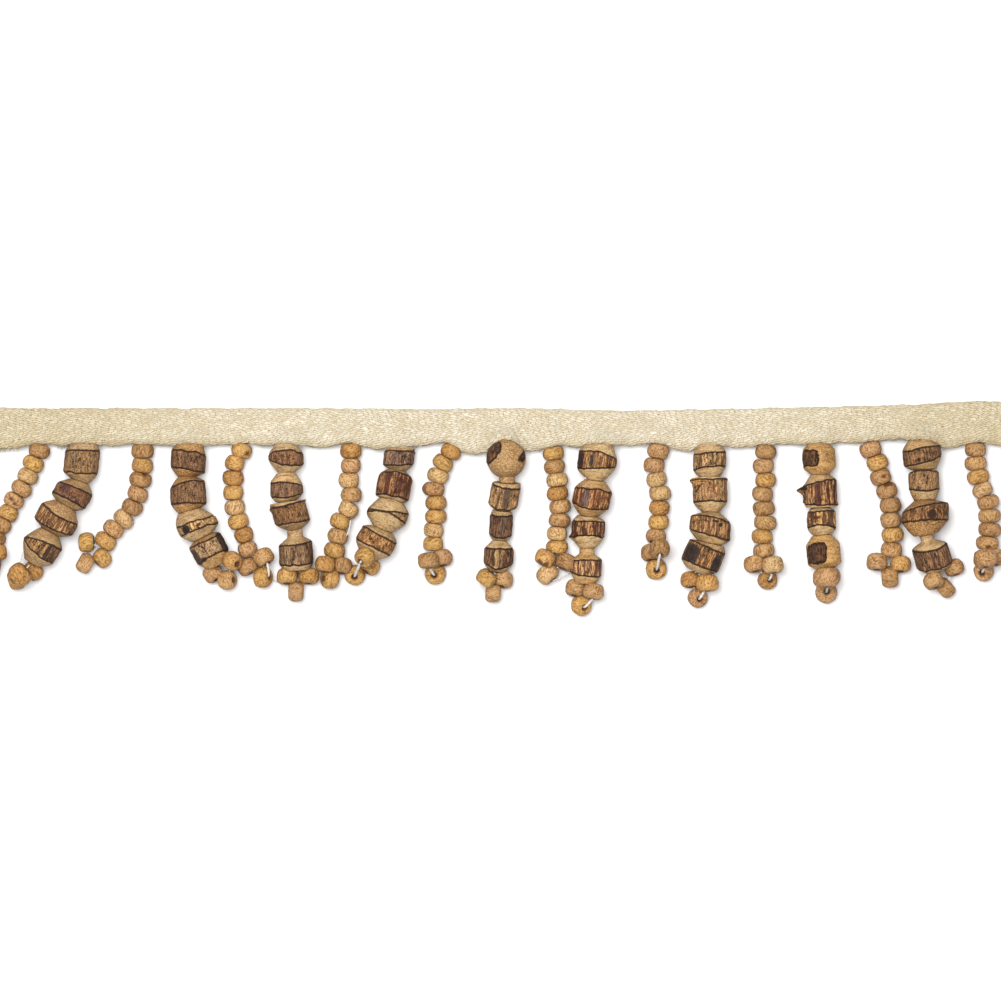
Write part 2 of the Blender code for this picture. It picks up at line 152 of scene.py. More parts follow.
OPERATIONS = ("ADD", "SUBTRACT", "MULTIPLY", "MULTIPLY_ADD")
plus, minus, times, times_plus = (partial(maths, operation) for operation in OPERATIONS)
tinted = partial(vector_maths, "MULTIPLY")


def ramp(value, low, high, to_low=0.0, to_high=1.0):
    """A value between two limits, carried smoothly over to two others."""
    inputs = {"Value": value, 1: low, 2: high, 3: to_low, 4: to_high}
    return node("MapRange", inputs, interpolation_type="SMOOTHSTEP").outputs[0]


def blend(share, first, second):
    """Two colours mixed by a share."""
    return node("Mix", {0: share, 6: first, 7: second}, data_type="RGBA").outputs[2]


def coats(colour, *layers):
    """Lays colours over one another: (share, colour), or (value, the limits of its ramp, colour)."""
    for share, *limits, other in layers:
        colour = blend(ramp(share, *limits) if limits else share, colour, other)
    return colour


print("a mid grey, picked and linear:", 128, round(tone(128, 128, 128)[0], 3))

# %% Finish helpers
VECTORS = {"place", "bead_tint", "bark_tint", "streak_tint", "mark_tint"}


def new_finish(name, roughness, specular=0.5):
    """A material and its Principled shader."""
    made = bpy.data.materials.new(name)
    made.use_nodes = True
    shader = made.node_tree.nodes["Principled BSDF"]
    shader.inputs["Roughness"].default_value = roughness
    shader.inputs["Specular IOR Level"].default_value = specular
    return made, shader


def plug_in(shader, colour, height, strength, distance, roughness=None):
    """Joins a colour, a height for the bump and perhaps a roughness to the shader."""
    bump = node("Bump", {"Height": height, "Strength": strength, "Distance": distance})
    outputs = {"Base Color": colour, "Normal": bump.outputs[0], "Roughness": roughness}
    for label, output in outputs.items():
        if output is not None:
            shader.id_data.links.new(output, shader.inputs[label])


def painted(finish, names):
    """The values and colours that were painted on the mesh's points under these names."""
    reads = [node("Attribute", {}, finish.node_tree, attribute_name=name) for name in names]
    return [read.outputs["Vector" if read.attribute_name in VECTORS else "Fac"] for read in reads]


print("painted with three numbers to a point:", sorted(VECTORS))

# %% [markdown]
# ## Grain, a shared effect
# Wood shows fine streaks that run one way. A noise texture does that once its space is squeezed:
# close together across the streaks, long drawn out along them. Small beads, turned cones, bark and
# thread all use this group, each with its own spacing, so it is built once. It gives the streaks
# and, apart from them, a slow mottling that is the same size in every direction.

# %% Grain group
grain_group = bpy.data.node_groups.new("streaked_grain", "ShaderNodeTree")
for label, way, kind in (
        ("Place", "INPUT", "Vector"), ("Across", "INPUT", "Float"), ("Along", "INPUT", "Float"),
        ("Mottle", "INPUT", "Float"), ("Streaks", "OUTPUT", "Float"), ("Mottling", "OUTPUT", "Float")):
    grain_group.interface.new_socket(label, in_out=way, socket_type="NodeSocket" + kind)
given = grain_group.nodes.new("NodeGroupInput").outputs
result = grain_group.nodes.new("NodeGroupOutput").inputs
squeeze = node("CombineXYZ", {0: given["Across"], 1: given["Across"], 2: given["Along"]}).outputs[0]
squeezed = tinted(given["Place"], squeeze)
streaks = node("TexNoise", {"Vector": squeezed, "Scale": 1.0, "Detail": 4.0, "Roughness": 0.62})
mottling = node("TexNoise", {"Vector": given["Place"], "Scale": given["Mottle"], "Detail": 3.0})
grain_group.links.new(streaks.outputs["Fac"], result["Streaks"])
grain_group.links.new(mottling.outputs["Fac"], result["Mottling"])


def grain(place, across, along, mottle):
    """The grain group's two outputs, streaks and mottling."""
    inputs = {"Place": place, "Across": across, "Along": along, "Mottle": mottle}
    return node("Group", inputs, node_tree=grain_group).outputs


print("sockets of the grain group:", [item.name for item in grain_group.interface.items_tree])

# %% [markdown]
# ## Small beads: plain turned wood
# The real beads are unvarnished: tan to orange, a little different from one to the next, with fine
# grain along the hole and a few pits. Painted shade darkens them at the rims where they meet each
# other, round and inside their holes and in their nicks, and towards the sides that face away from
# the sky. Each bead's tint and both painted shades are painted on its points, so one material serves them
# all.

# %% Small bead wood
SMALL_PAINT = ["place", "bead_tint", "mouth", "underside_shade"]
# Dark brown of the pits and specks, also laid on as painted shade at the mouths, holes and nicks.
SPECKS_AND_PAINTED_SHADE = tone(92, 54, 28)
bead_wood, shader = new_finish("small_bead_wood", 0.6, 0.3)
place, tint, mouth, underside_shade = painted(bead_wood, SMALL_PAINT)
streaks, mottling = grain(place, 1.9, 0.2, 0.45)
fine_streaks, specks = grain(place, 2.5, 0.75, 2.2)
darker, darkest = tinted(tint, (0.6, 0.5, 0.38)), tinted(tint, (0.52, 0.42, 0.3))
lighter, lightest = tinted(tint, (1.22, 1.26, 1.3)), tinted(tint, (1.32, 1.38, 1.46))
pits = node("TexVoronoi", {"Vector": place, "Scale": 0.7}).outputs["Distance"]
pitted = times(ramp(pits, 0.06, 0.16, 1.0, 0.0), ramp(mottling, 0.52, 0.62))
# The last two coats are painted shade: dark brown at the mouths, holes and nicks with the specks, and a
# deeper brown towards the underside.
body = coats(
    tint, (streaks, 0.47, 0.6, 0.0, 0.95, darker),
    (fine_streaks, 0.5, 0.545, lightest), (fine_streaks, 0.465, 0.42, 0.0, 0.95, darkest),
    (mottling, 0.45, 0.7, 0.0, 0.6, lighter), (mottling, 0.46, 0.3, 0.0, 0.45, darker),
    (pitted, SPECKS_AND_PAINTED_SHADE), (times_plus(specks, 0.6, mouth), 0.6, 1.15, 0.0, 0.9, SPECKS_AND_PAINTED_SHADE),
    (times(underside_shade, 0.75), tone(104, 60, 30)))
height = minus(times_plus(fine_streaks, 0.5, streaks), pitted)
plug_in(shader, body, height, 0.9, 0.0003, ramp(streaks, 0.3, 0.7, 0.5, 0.7))
print("nodes of the small beads' wood:", len(bead_wood.node_tree.nodes))

# %% [markdown]
# ## Bark beads: twig with turned ends
# A bark bead is a slice of twig. Its ends are turned down to pale cones with fine tool lines, and
# a band of bark is left in the middle, bounded by an uneven, nearly black line where the inner
# bark was cut. The mesh carries how far each point is inside the bark, in millimetres. The
# material cuts the colour at zero, so the line stays crisp between the mesh's points.

# %% Turned ends
BARK_PAINT = ["place", "bark_depth", "bark_tint", "streak_tint", "streaky", "mark_tint", "mark", "cone_tone",
              "cone_warmth", "knot", "knot_dark", "underside_shade"]
bark_wood, shader = new_finish("bark_bead_wood", 0.75, 0.25)
(place, depth, bark_tint, streak_tint, streaky, mark_tint, mark, cone_tone,
 cone_warmth, knot, knot_dark, underside_shade) = painted(bark_wood, BARK_PAINT)
cut_streaks, cut_mottling = grain(place, 0.3, 1.5, 0.22)
cut_fine, cut_specks = grain(place, 1.2, 3.4, 2.6)
cone = coats(
    blend(cone_tone, tone(128, 96, 66), tone(216, 187, 138)),
    (cut_mottling, 0.35, 0.65, 0.0, 0.4, tone(186, 148, 96)),
    (cut_streaks, 0.47, 0.6, 0.0, 0.7, tone(134, 98, 62)),
    (cut_fine, 0.52, 0.58, 0.0, 0.6, tone(108, 74, 44)),
    (cut_specks, 0.53, 0.58, 0.0, 0.6, tone(210, 176, 128)))
cone = blend(cone_warmth, cone, tinted(cone, (1.08, 0.93, 0.68)))
print("nodes of the turned ends:", len(bark_wood.node_tree.nodes))

# %% Bark, its marks and its edge
bark_streaks, bark_mottling = grain(place, 1.15, 0.09, 0.5)
fibres, flecks = grain(place, 2.5, 0.5, 2.4)
scales, warmth = grain(place, 3.4, 2.2, 1.2)
fibre_shade = times(ramp(fibres, 0.43, 0.57, -0.62, 0.56), ramp(streaky, 0.1, 0.7, 0.5, 1.0))
scale_shade = times(ramp(scales, 0.4, 0.62, -0.46, 0.5), ramp(streaky, 0.2, 0.8, 1.0, 0.3))
shade = reduce(plus, (fibre_shade, scale_shade, ramp(flecks, 0.44, 0.56, 0.28, -0.3), 1.12,
                      ramp(bark_mottling, 0.35, 0.65, 0.22, -0.2)))
bark = tinted(tinted(bark_tint, shade), (1.07, 0.97, 0.8))
furrow = times(ramp(bark_streaks, 0.5, 0.55), streaky)
drawn_out = tinted(place, (1.0, 1.0, 0.2))
cells = node("TexVoronoi", {"Vector": drawn_out, "Scale": 0.85}, feature="DISTANCE_TO_EDGE")
split = times(ramp(cells.outputs["Distance"], 0.01, 0.06, 1.0, 0.0), ramp(bark_mottling, 0.5, 0.6, 0.0, 0.8))
bark = coats(bark, (warmth, 0.46, 0.62, 0.0, 0.7, tinted(bark, (1.08, 0.9, 0.76))), (furrow, streak_tint),
             (split, tone(58, 38, 28)))
ragged = node("TexNoise", {"Vector": place, "Scale": 1.6, "Detail": 3.0}).outputs["Fac"]
ragged_depth = plus(depth, times_plus(ragged, 0.36, -0.18))
inside = ramp(ragged_depth, -0.04, 0.04)
marked = ramp(plus(mark, times_plus(fibres, 1.4, -0.7)), 0.35, 0.65)
rings = times(ramp(maths("SINE", times(knot, 11.0)), 0.1, 0.8), ramp(knot, 1.3, 2.6, 0.8, 0.0))
heart = maths("MAXIMUM", ramp(knot, 0.55, 1.0, 1.0, 0.0), rings)
line = ramp(maths("ABSOLUTE", minus(ragged_depth, 0.1)), 0.12, 0.34, 1.0, 0.0)
surface = coats(
    cone, (inside, bark), (marked, tinted(mark_tint, ramp(fibres, 0.35, 0.65, 0.5, 1.5))),
    (times(heart, knot_dark), tone(56, 38, 27)), (times(line, 0.92), tone(48, 32, 25)),
    # Painted shade: darker brown on the sides that face away from the sky.
    (times(underside_shade, 0.55), tone(80, 52, 34)))
relief = minus(minus(times(fibres, 1.4), times(furrow, 0.8)), split)
relief = plus(times(inside, relief), times_plus(cut_streaks, 0.4, times(cut_fine, 0.3)))
plug_in(shader, surface, minus(relief, line), 0.9, 0.0004, times_plus(inside, 0.2, 0.62))
print("nodes with the bark:", len(bark_wood.node_tree.nodes))

# %% [markdown]
# ## Thread
# The threads are white cotton, twisted from two plies. Slanting light and dark bands along the
# thread's length give the twist, from a wave across the painted length and angle; the darker bands
# are painted shade in the grooves between the plies.

# %% Cotton thread
cotton_thread, shader = new_finish("cotton_thread", 0.85)
place, = painted(cotton_thread, ["place"])
wave = {"Vector": place, "Scale": 0.55, "Distortion": 0.6, "Detail": 1.0}
ply = node("TexWave", wave, bands_direction="DIAGONAL").outputs["Fac"]
# Painted shade: the darker tone lies in the grooves between the plies.
plies_with_groove_shade = blend(ply, tone(206, 202, 194), tone(244, 242, 238))
fibres, _ = grain(place, 3.0, 1.0, 1.5)
plug_in(shader, coats(plies_with_groove_shade, (fibres, 0.4, 0.8, 0.0, 0.3, tone(190, 184, 172))), ply, 0.6, 0.0002)
print("nodes of the thread:", len(cotton_thread.node_tree.nodes))

# %% [markdown]
# ## Herringbone tape
# In herringbone the floats of the yarns step on from row to row, so that they climb one way over
# part of the width and the other way over the rest. The painted place holds millimetres along the
# tape and across the cloth from its fold. It is slanted one way near the fold and the other way
# beyond the turning line. Then rows and floats are cut with a floor, each with a chance shift. The
# hollows between the floats are painted tan, a painted shade, orange in their corners. The cloth is
# darker towards its open edge, where it curves down, also a painted shade. It is brighter in the
# middle and darker and yellower towards its ends. Two soft noises pull it all slightly out of line
# first, because a hand-folded cotton tape is never true.

# %% Weave
ROW = 0.64                 # millimetres from one yarn to the next
FLOAT_LENGTH = 1.8
ROW_STEP = 0.62            # how far each row's floats are moved on
SLANT = 0.26
TURNING = 7.2              # millimetres from the fold line to where the pattern turns
CLOTH_PAINT = ["place", "open_edge"]
tape_cloth, shader = new_finish("herringbone_cotton", 0.95, 0.15)
place, edge_shade = painted(tape_cloth, CLOTH_PAINT)


def pull(scale, detail, along, across):
    """How far a soft noise pulls the cloth out of line, in millimetres."""
    noise = node("TexNoise", {"Vector": place, "Scale": scale, "Detail": detail}).outputs["Color"]
    return tinted(vector_maths("SUBTRACT", noise, (0.5, 0.5, 0.5)), (along, across, 0.0))


def from_half(share):
    """How far a share is from a half, as 0 to 1."""
    return maths("ABSOLUTE", times_plus(share, 2.0, -1.0))


pulled = vector_maths("ADD", pull(0.3, 2.5, 2.2, 1.5), pull(1.1, 1.0, 1.4, 0.7))
along, across, _ = node("SeparateXYZ", {0: vector_maths("ADD", place, pulled)}).outputs
beyond = maths("GREATER_THAN", maths("ABSOLUTE", across), TURNING)
row_place = maths("DIVIDE", times_plus(along, times_plus(beyond, 2 * SLANT, -SLANT), across), ROW)
row = maths("FLOOR", row_place)
jitter = node("TexWhiteNoise", {"W": row}, noise_dimensions="1D").outputs["Value"]
shift = plus(times(row, ROW_STEP), times(jitter, 0.9))
float_place = maths("DIVIDE", plus(along, shift), FLOAT_LENGTH)
pair = node("CombineXYZ", {0: row, 1: maths("FLOOR", float_place)}).outputs[0]
chance = node("TexWhiteNoise", {"Vector": pair}, noise_dimensions="2D").outputs["Value"]
side, end = (from_half(maths("FRACT", along_it)) for along_it in (row_place, float_place))
fullness = plus(maths("POWER", side, 2.4), maths("POWER", end, 4.0))
yarn_height = minus(1.0, times(fullness, 0.6))
print("nodes of the weave:", len(tape_cloth.node_tree.nodes))

# %% Tape cloth
fibres, fluff = grain(place, 2.8, 2.8, 0.3)
# Painted shade: the hollows between the floats are tan, and orange in their deepest corners, more at some
# than at others.
corner_shade = times(ramp(fullness, 0.95, 1.35), ramp(chance, 0.2, 0.8, 0.35, 1.0))
cloth = coats(
    blend(chance, tone(202, 189, 161), tone(219, 209, 187)),
    (times(ramp(fullness, 0.6, 1.05), 0.7), tone(184, 158, 112)), (corner_shade, tone(172, 118, 60)),
    (fluff, 0.4, 0.66, 0.0, 0.3, tone(190, 168, 128)), (fibres, 0.5, 0.7, 0.0, 0.4, tone(226, 217, 197)),
    # Painted shade: darker towards the open edge, where the cloth curves down.
    (times(edge_shade, 0.5), tone(172, 150, 112)))
from_middle = maths("ABSOLUTE", minus(node("SeparateXYZ", {0: place}).outputs[0], 5.0))
# Brighter in the middle, darker and yellower towards both ends.
middle_to_ends = blend(ramp(from_middle, 60.0, 150.0), (1.05, 1.075, 1.11, 1.0), (0.93, 0.92, 0.85, 1.0))
motes = node("TexVoronoi", {"Vector": place, "Scale": 0.22}).outputs["Distance"]
cloth = coats(tinted(cloth, middle_to_ends), (motes, 0.03, 0.06, 0.7, 0.0, tone(150, 112, 66)))
plug_in(shader, cloth, times_plus(fibres, 0.7, yarn_height), 0.8, 0.0004)
print("finishes:", [m.name for m in bpy.data.materials])

# %% [markdown]
# ## Building by rings
# Tape, beads and thread are all skins over a row of closed rings. The collector below takes grids
# of points with whatever was painted on them, joins neighbouring rings with four-sided faces, and
# makes one object of all that it was given. Numpy moves thousands of points at a time, which
# keeps the script quick. How far each point is turned away from the sky is painted last, once the
# mesh knows its normals; the beads' finishes darken by it, a painted shade.

# %% Collector of rings
FLOOR_CLEARANCE = 0.02
# Painted shade on the beads starts below this uprightness of a point's normal and deepens over the span.
UNSHADED, FADE = 0.66, 0.76  # how upright a point's normal is where it starts to darken, and the span


def stacked(*parts):
    """Coordinates, spread out to one shape, as points."""
    return np.stack(np.broadcast_arrays(*parts), axis=-1)


class Skin:
    """Gathers rings of points, in millimetres, and turns them into one object."""

    def __init__(self, paint):
        self.points, self.faces, self.slots = [], [], []
        self.paint = {name: [] for name in paint}
        self.count = 0

    def add(self, grid, slot=0, loop=False, **paint):
        """Adds a grid of points: rings by sides by three. loop joins the last ring to the first."""
        rings, sides = grid.shape[:2]
        start = self.count
        self.points.append(grid.reshape(-1, 3))
        for name, held in self.paint.items():
            shape = (rings, sides, 3) if name in VECTORS else (rings, sides)
            held.append(np.broadcast_to(paint.get(name, 0.0), shape).ravel())
        self.count += rings * sides
        for i in range(rings if loop else rings - 1):
            near, far = start + i * sides, start + (i + 1) % rings * sides
            for j in range(sides):
                after = (j + 1) % sides
                self.faces.append((near + j, near + after, far + after, far + j))
        if not loop:
            self.faces.append(tuple(range(start + sides - 1, start - 1, -1)))
            self.faces.append(tuple(range(self.count - sides, self.count)))
        self.slots += [slot] * (len(self.faces) - len(self.slots))

    def make(self, name, finishes, flip=False):
        """One object with its painted values, smooth, with its faces pointing out."""
        points = np.concatenate(self.points)
        points[:, 2] = np.maximum(points[:, 2], FLOOR_CLEARANCE)
        points = (points - np.array((*ORIGIN, 0.0))) * MM
        faces = [face[::-1] for face in self.faces] if flip else self.faces
        mesh = bpy.data.meshes.new(name)
        mesh.from_pydata(points.tolist(), [], faces)
        for finish in finishes:
            mesh.materials.append(finish)
        mesh.polygons.foreach_set("material_index", self.slots)
        mesh.polygons.foreach_set("use_smooth", [True] * len(faces))
        for label, held in self.paint.items():
            kind, field = ("FLOAT_VECTOR", "vector") if label in VECTORS else ("FLOAT", "value")
            layer = mesh.attributes.new(label, kind, "POINT")
            layer.data.foreach_set(field, np.concatenate(held).astype(float))
        mesh.update()
        # Painted shade: points that face sideways or down are marked, to be darkened by the beads' finishes.
        if "underside_shade" in self.paint:
            facing = np.empty(len(points) * 3)
            mesh.vertex_normals.foreach_get("vector", facing)
            turned_down = np.clip((UNSHADED - facing[2::3]) / FADE, 0, 1) ** 1.3
            mesh.attributes["underside_shade"].data.foreach_set("value", turned_down)
        made = bpy.data.objects.new(name, mesh)
        bpy.context.collection.objects.link(made)
        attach(made, "root")
        return made


print("values painted on a bark bead:", len(BARK_PAINT))

# %% [markdown]
# ## Chance waves and directions
# Nothing on the trim is quite true. A sum of a few waves in chance directions gives a smooth
# unevenness that is the same each run. Beads lie every way, so rings can be laid round any axis.

# %% Waves and directions


def unevenness(points, size, seed):
    """Smooth waves between about -1 and 1, of roughly that size in millimetres."""
    rng = np.random.default_rng(seed)
    total = np.zeros(points.shape[:-1])
    for k in range(7):
        way = rng.normal(size=3)
        way *= 2 * math.pi / size * (0.6 + 0.2 * k) / np.linalg.norm(way)
        total += np.sin(points @ way + rng.uniform(0, 2 * math.pi))
    return total / 3.5


def square_to(axis):
    """To the right of an axis as seen from above, and the way up from it."""
    right = Vector((0, 0, 1)).cross(axis)
    right = right.normalized() if right.length > 0.05 else Vector((1, 0, 0))
    return right, axis.cross(right)


def place_grid(origin, axis, along, radius, angle):
    """Points at a distance along an axis, a radius from it and an angle round it."""
    right, up = (np.array(way) for way in square_to(axis))
    ray = np.cos(angle)[..., None] * right + np.sin(angle)[..., None] * up
    return np.array(origin) + along[..., None] * np.array(axis) + radius[..., None] * ray


print("right of a bead that points down the page:", square_to(Vector((0, -1, 0)))[0][:])

# %% [markdown]
# ## Measures of the tape
# The tape's outline was read off the photograph at the strands' roots and between them, at 0.286
# millimetres to a pixel. Straight lines between those stations would look cut out with a knife, so
# the outline is eased through them with a smooth curve and then given a yarn's unevenness.

# %% Tape outline
TAPE = (                   # x, fold, open edge
    (-146.7, 28.9, 17.3), (-139.6, 28.8, 17.5), (-131.6, 28.6, 18.8), (-125.3, 28.7, 18.4),
    (-118.8, 28.7, 18.7), (-111.0, 28.7, 18.2), (-102.1, 28.7, 18.8), (-95.8, 28.7, 18.3),
    (-88.7, 28.7, 18.6), (-81.5, 28.7, 18.2), (-73.8, 28.7, 19.0), (-67.5, 28.7, 18.4),
    (-61.3, 28.7, 18.8), (-51.5, 28.7, 17.7), (-42.6, 28.6, 18.9), (-35.8, 28.6, 17.4),
    (-28.3, 28.5, 17.8), (-21.5, 28.4, 18.3), (-14.0, 28.5, 18.6), (-9.4, 28.6, 15.9),
    (-4.2, 28.7, 16.5), (1.6, 28.7, 19.5), (7.0, 28.7, 16.5), (11.4, 28.6, 17.2),
    (15.3, 28.5, 18.2), (21.5, 28.3, 17.9), (28.2, 28.1, 18.6), (36.3, 28.0, 18.3),
    (45.3, 28.1, 18.7), (52.9, 28.3, 16.8), (59.8, 28.4, 18.6), (68.1, 28.5, 17.6),
    (75.9, 28.7, 18.6), (83.2, 28.9, 18.5), (90.9, 29.0, 18.9), (98.7, 29.2, 19.2),
    (106.1, 29.4, 19.3), (113.3, 29.6, 20.0), (120.0, 29.8, 19.7), (128.7, 30.4, 17.6),
    (136.1, 30.7, 19.3), (143.0, 30.6, 18.2), (146.7, 30.5, 18.1),
)


def interpolate(x, rows, column):
    """A value between the rows of a table, by straight lines along x."""
    return float(np.interp(x, [row[0] for row in rows], [row[column] for row in rows]))


print("folded tape in the middle:", round(interpolate(0, TAPE, 1) - interpolate(0, TAPE, 2), 1), "mm wide")

# %% [markdown]
# ## Measures of the strands
# A small strand needs its root, the pitch from bead to bead, how much wider its beads are than the
# packed ones, and how far each has drifted sideways. A bark strand gives four beads their lengths
# and diameters.

# %% Strand tables
SMALL_STRANDS = (          # number, root x, pitch, how much wider than the solids, drift of each bead
    (1, -131.6, 3.97, 1.05, (0, -1.7, -3.3, -5.1, -7.3, -8.9, -10.9, -12.6)),
    (3, -102.1, 4.12, 1.07, (0, -0.1, -0.6, -1.4, -3.0, -5.4, -8.3, -10.6)),
    (5, -73.8, 4.20, 1, (0, -2.0, -2.4, -2.4, -2.0, -0.9, 0.7, 1.7)),
    (7, -42.6, 4.23, 1.03, (0, 0, -0.6, 0.1, -0.7, -3.1, -3.7, -4.7)),
    (9, -14.0, 3.95, 1.04, (0, -2.3, -3.7, -5.0, -4.3, -4.3, -4.9, -5.1)),
    (11, 15.3, 3.86, 1.05, (0, 0.3, 1.1, 1.1, 1.9, 1.7, 1.0, 0.9)),
    (13, 45.3, 4.12, 1.05, (0, -1.3, -0.6, 0.4, 0.3, 0, -0.7)),
    (15, 75.9, 4.09, 1.07, (0, -0.6, 0, -0.9, -0.6, -0.1, -1.0, -0.6)),
    (17, 105.85, 4.26, 1.09, (0, 2.0, 2.9, 4.7, 5.7, 5.7, 6.3, 6.0)),
    (19, 135.85, 3.92, 1.08, (0, 0, 0.7, 2.0, 3.6, 4.0, 4.1, 3.4)),
)
BARK_STRANDS = (           # number, root x, beads: drift, length, top_d, band_from, body_d, band_to, bottom_d
    (2, -118.8, (
        (-1.3, 10.9, 7.4, 0.16, 9.7, 0.78, 5.1), (-5.3, 8.0, 5.7, 0.30, 10.6, 0.78, 6.3),
        (-9.6, 8.6, 6.9, 0.38, 12.0, 0.85, 6.3), (-14.9, 10.4, 5.7, 0.25, 10.9, 0.68, 4.9))),
    (4, -88.7, (
        (-0.6, 9.3, 7.4, 0.22, 9.7, 0.85, 5.7), (0.1, 9.9, 5.1, 0.20, 10.0, 0.83, 6.3),
        (3.9, 8.3, 6.9, 0.40, 11.4, 0.70, 6.9), (8.0, 9.1, 5.7, 0.12, 9.6, 0.75, 5.7))),
    (6, -61.3, (
        (0.3, 8.3, 5.1, 0.25, 10.0, 0.72, 5.1), (0.5, 8.4, 4.9, 0.35, 9.3, 0.78, 5.4),
        (2.7, 8.3, 9.5, 0.10, 10.0, 0.78, 4.0), (3.4, 11.6, 4.4, 0.37, 9.2, 0.83, 7.1))),
    (8, -28.3, (
        (-1.1, 6.9, 6.9, 0.20, 8.6, 0.80, 4.6), (-2.7, 8.7, 5.7, 0.16, 9.2, 0.90, 6.9),
        (-5.3, 8.7, 6.9, 0.36, 11.7, 0.52, 5.7), (-9.6, 9.2, 6.9, 0.18, 10.9, 0.62, 4.0))),
    (10, 1.6, (
        (0.4, 12.3, 4.2, 0.10, 11.1, 0.78, 4.6), (-1.0, 8.3, 7.6, 0.10, 8.2, 0.84, 4.3),
        (-1.7, 8.7, 5.4, 0.12, 6.4, 0.85, 4.0), (-2.3, 9.0, 4.3, 0.22, 8.0, 0.85, 4.6))),
    (12, 28.2, (
        (-1.1, 10.5, 7.7, 0.22, 10.9, 0.68, 4.9), (-2.9, 10.3, 6.0, 0.18, 10.6, 0.75, 5.1),
        (-3.3, 9.2, 6.3, 0.12, 9.2, 0.62, 4.6), (-3.8, 10.3, 4.3, 0.31, 8.6, 0.76, 5.4))),
    (14, 59.8, (
        (0.0, 9.6, 6.0, 0.28, 9.2, 0.68, 5.7), (0.3, 10.0, 9.0, 0.08, 9.5, 0.72, 4.9),
        (-0.2, 8.7, 5.1, 0.17, 11.7, 0.80, 6.9), (-3.8, 9.0, 8.6, 0.12, 10.9, 0.70, 6.2))),
    (16, 90.9, (
        (0.4, 9.0, 5.1, 0.23, 9.4, 0.77, 5.4), (0.7, 9.4, 5.4, 0.22, 9.2, 0.90, 8.4),
        (1.0, 8.0, 5.4, 0.14, 8.0, 0.70, 4.9), (2.0, 9.6, 5.7, 0.27, 9.6, 0.83, 5.7))),
    (18, 120.0, (
        (1.0, 8.5, 6.6, 0.25, 10.9, 0.75, 7.1), (1.2, 8.9, 5.7, 0.12, 8.4, 0.68, 6.0),
        (1.5, 9.7, 6.0, 0.16, 13.0, 0.62, 7.1), (4.8, 11.0, 3.8, 0.35, 9.9, 0.85, 6.2))),
)
# Below, bead 4 of strand 12 is 124. Only CHIPS counts as the beads' random seeds do, so there it is 1204.
TOP_NECKS = {64: 0.18, 124: 0.16, 184: 0.17}
BALL = 101
BALL_NECK = 0.14
print("beads on the threads:", sum(len(strand[-1]) for strand in SMALL_STRANDS + BARK_STRANDS))

# %% [markdown]
# ## Measures of the picots
# A picot lies as it fell, so no rule gives its shape. The table lists its three beads in the order in
# which the thread meets them. Others tell which way a bead's hole points, where a rim is nicked,
# which beads are larger, and where the thread shows.

# %% Picot tables
PICOTS = {                 # strand: three beads, x and y from the strand's end, and height where it rides up
    1: ((-3.1, -1.7), (0.1, -6.5), (1.2, -2.5, 5.6)),
    2: ((0.4, -2.3), (-4.4, -4.6), (-3.3, -3.4, 7.6)),
    3: ((0.5, -1.5), (-4.7, -4.6), (-4.3, 1.4)),
    4: ((-1.0, -0.6), (2.5, -4.1, 4.0), (4.3, 1.2, 7.0)),
    5: ((3.9, -0.3, 5.0), (3.9, -6.0, 3.4), (-0.4, -2.7)),
    6: ((-3.0, -1.7, 3.6), (-0.4, -6.1), (3.2, -1.7)),
    7: ((2.5, -2.0), (-0.8, -6.1), (-2.1, -1.9, 6.0)),
    8: ((0.4, -2.1), (-3.1, -4.7), (-0.1, 1.0, 10.0)),
    9: ((1.1, -0.2, 3.6), (0.8, -6.4), (-0.9, -2.6, 7.4)),
    10: ((1.3, -1.7), (-1.1, -5.6), (-3.2, -1.6, 6.0)),
    11: ((2.0, -1.1, 3.8), (-2.6, -5.6), (-3.3, -1.1, 6.0)),
    12: ((-2.7, -1.1), (-1.2, -6.1), (2.2, -2.1, 5.5)),
    13: ((-0.8, -2.1), (0.4, -7.2), (1.2, -1.5, 7.8)),
    14: ((-1.1, -2.4), (0.5, -7.5), (2.8, -3.2, 5.8)),
    15: ((-1.7, -0.6, 4.4), (0.9, -6.2), (2.0, -2.0, 6.8)),
    16: ((0.9, -1.8, 3.2), (0.4, -6.4), (0.3, -2.5, 8.0)),
    17: ((1.7, -1.0), (-0.1, -5.5), (-4.1, -1.4, 4.4)),
    18: ((-0.2, -1.4, 5.4), (1.5, -4.4), (3.5, 1.6)),
    19: ((0.5, -2.0, 4.0), (0.2, -4.9), (-0.1, -2.4, 8.4)),
}
TIPS = {                   # picot bead: the way its hole points, where a mouth faces the sky
    23: (0.75, 0.65, 0.1), 33: (1, 0.1, 0.1), 42: (0.85, 0, 0.5), 43: (-0.6, 0.4, -0.6),
    52: (-0.8, -0.1, -0.5), 72: (-0.85, 0.05, 0.5), 82: (-0.1, -0.25, 1),
    83: (0.55, 0.6, -0.55), 92: (-0.2, -0.2, 0.95), 103: (0.62, 0.78, 0.1),
    112: (0.6, -0.65, 0.1), 122: (0.45, -0.3, 0.8), 132: (0.05, -0.2, 1), 133: (0, 0.8, -0.5),
    142: (0.25, -0.2, 0.95), 152: (0.35, 0, 0.95), 162: (0.05, 0.1, 1), 192: (-0.3, -0.2, 0.95),
}
PICOT_FROM = 50            # picot beads are 51 to 53 of their strand
CHIPS = {                  # small bead: side angle in degrees and share of the half length, for each nick
    105: ((110, -0.1), (70, 0.3)), 303: ((60, -0.9),), 501: ((40, 0.2),),
    904: ((165, 0.8),), 1307: ((120, 0.9), (60, 0.9)), 1153: ((60, -0.9), (120, -0.8)),
    1704: ((40, -0.8), (80, -0.9)), 1908: ((80, 0.5),), 252: ((100, 0.2),), 1703: ((70, 0.0),),
}
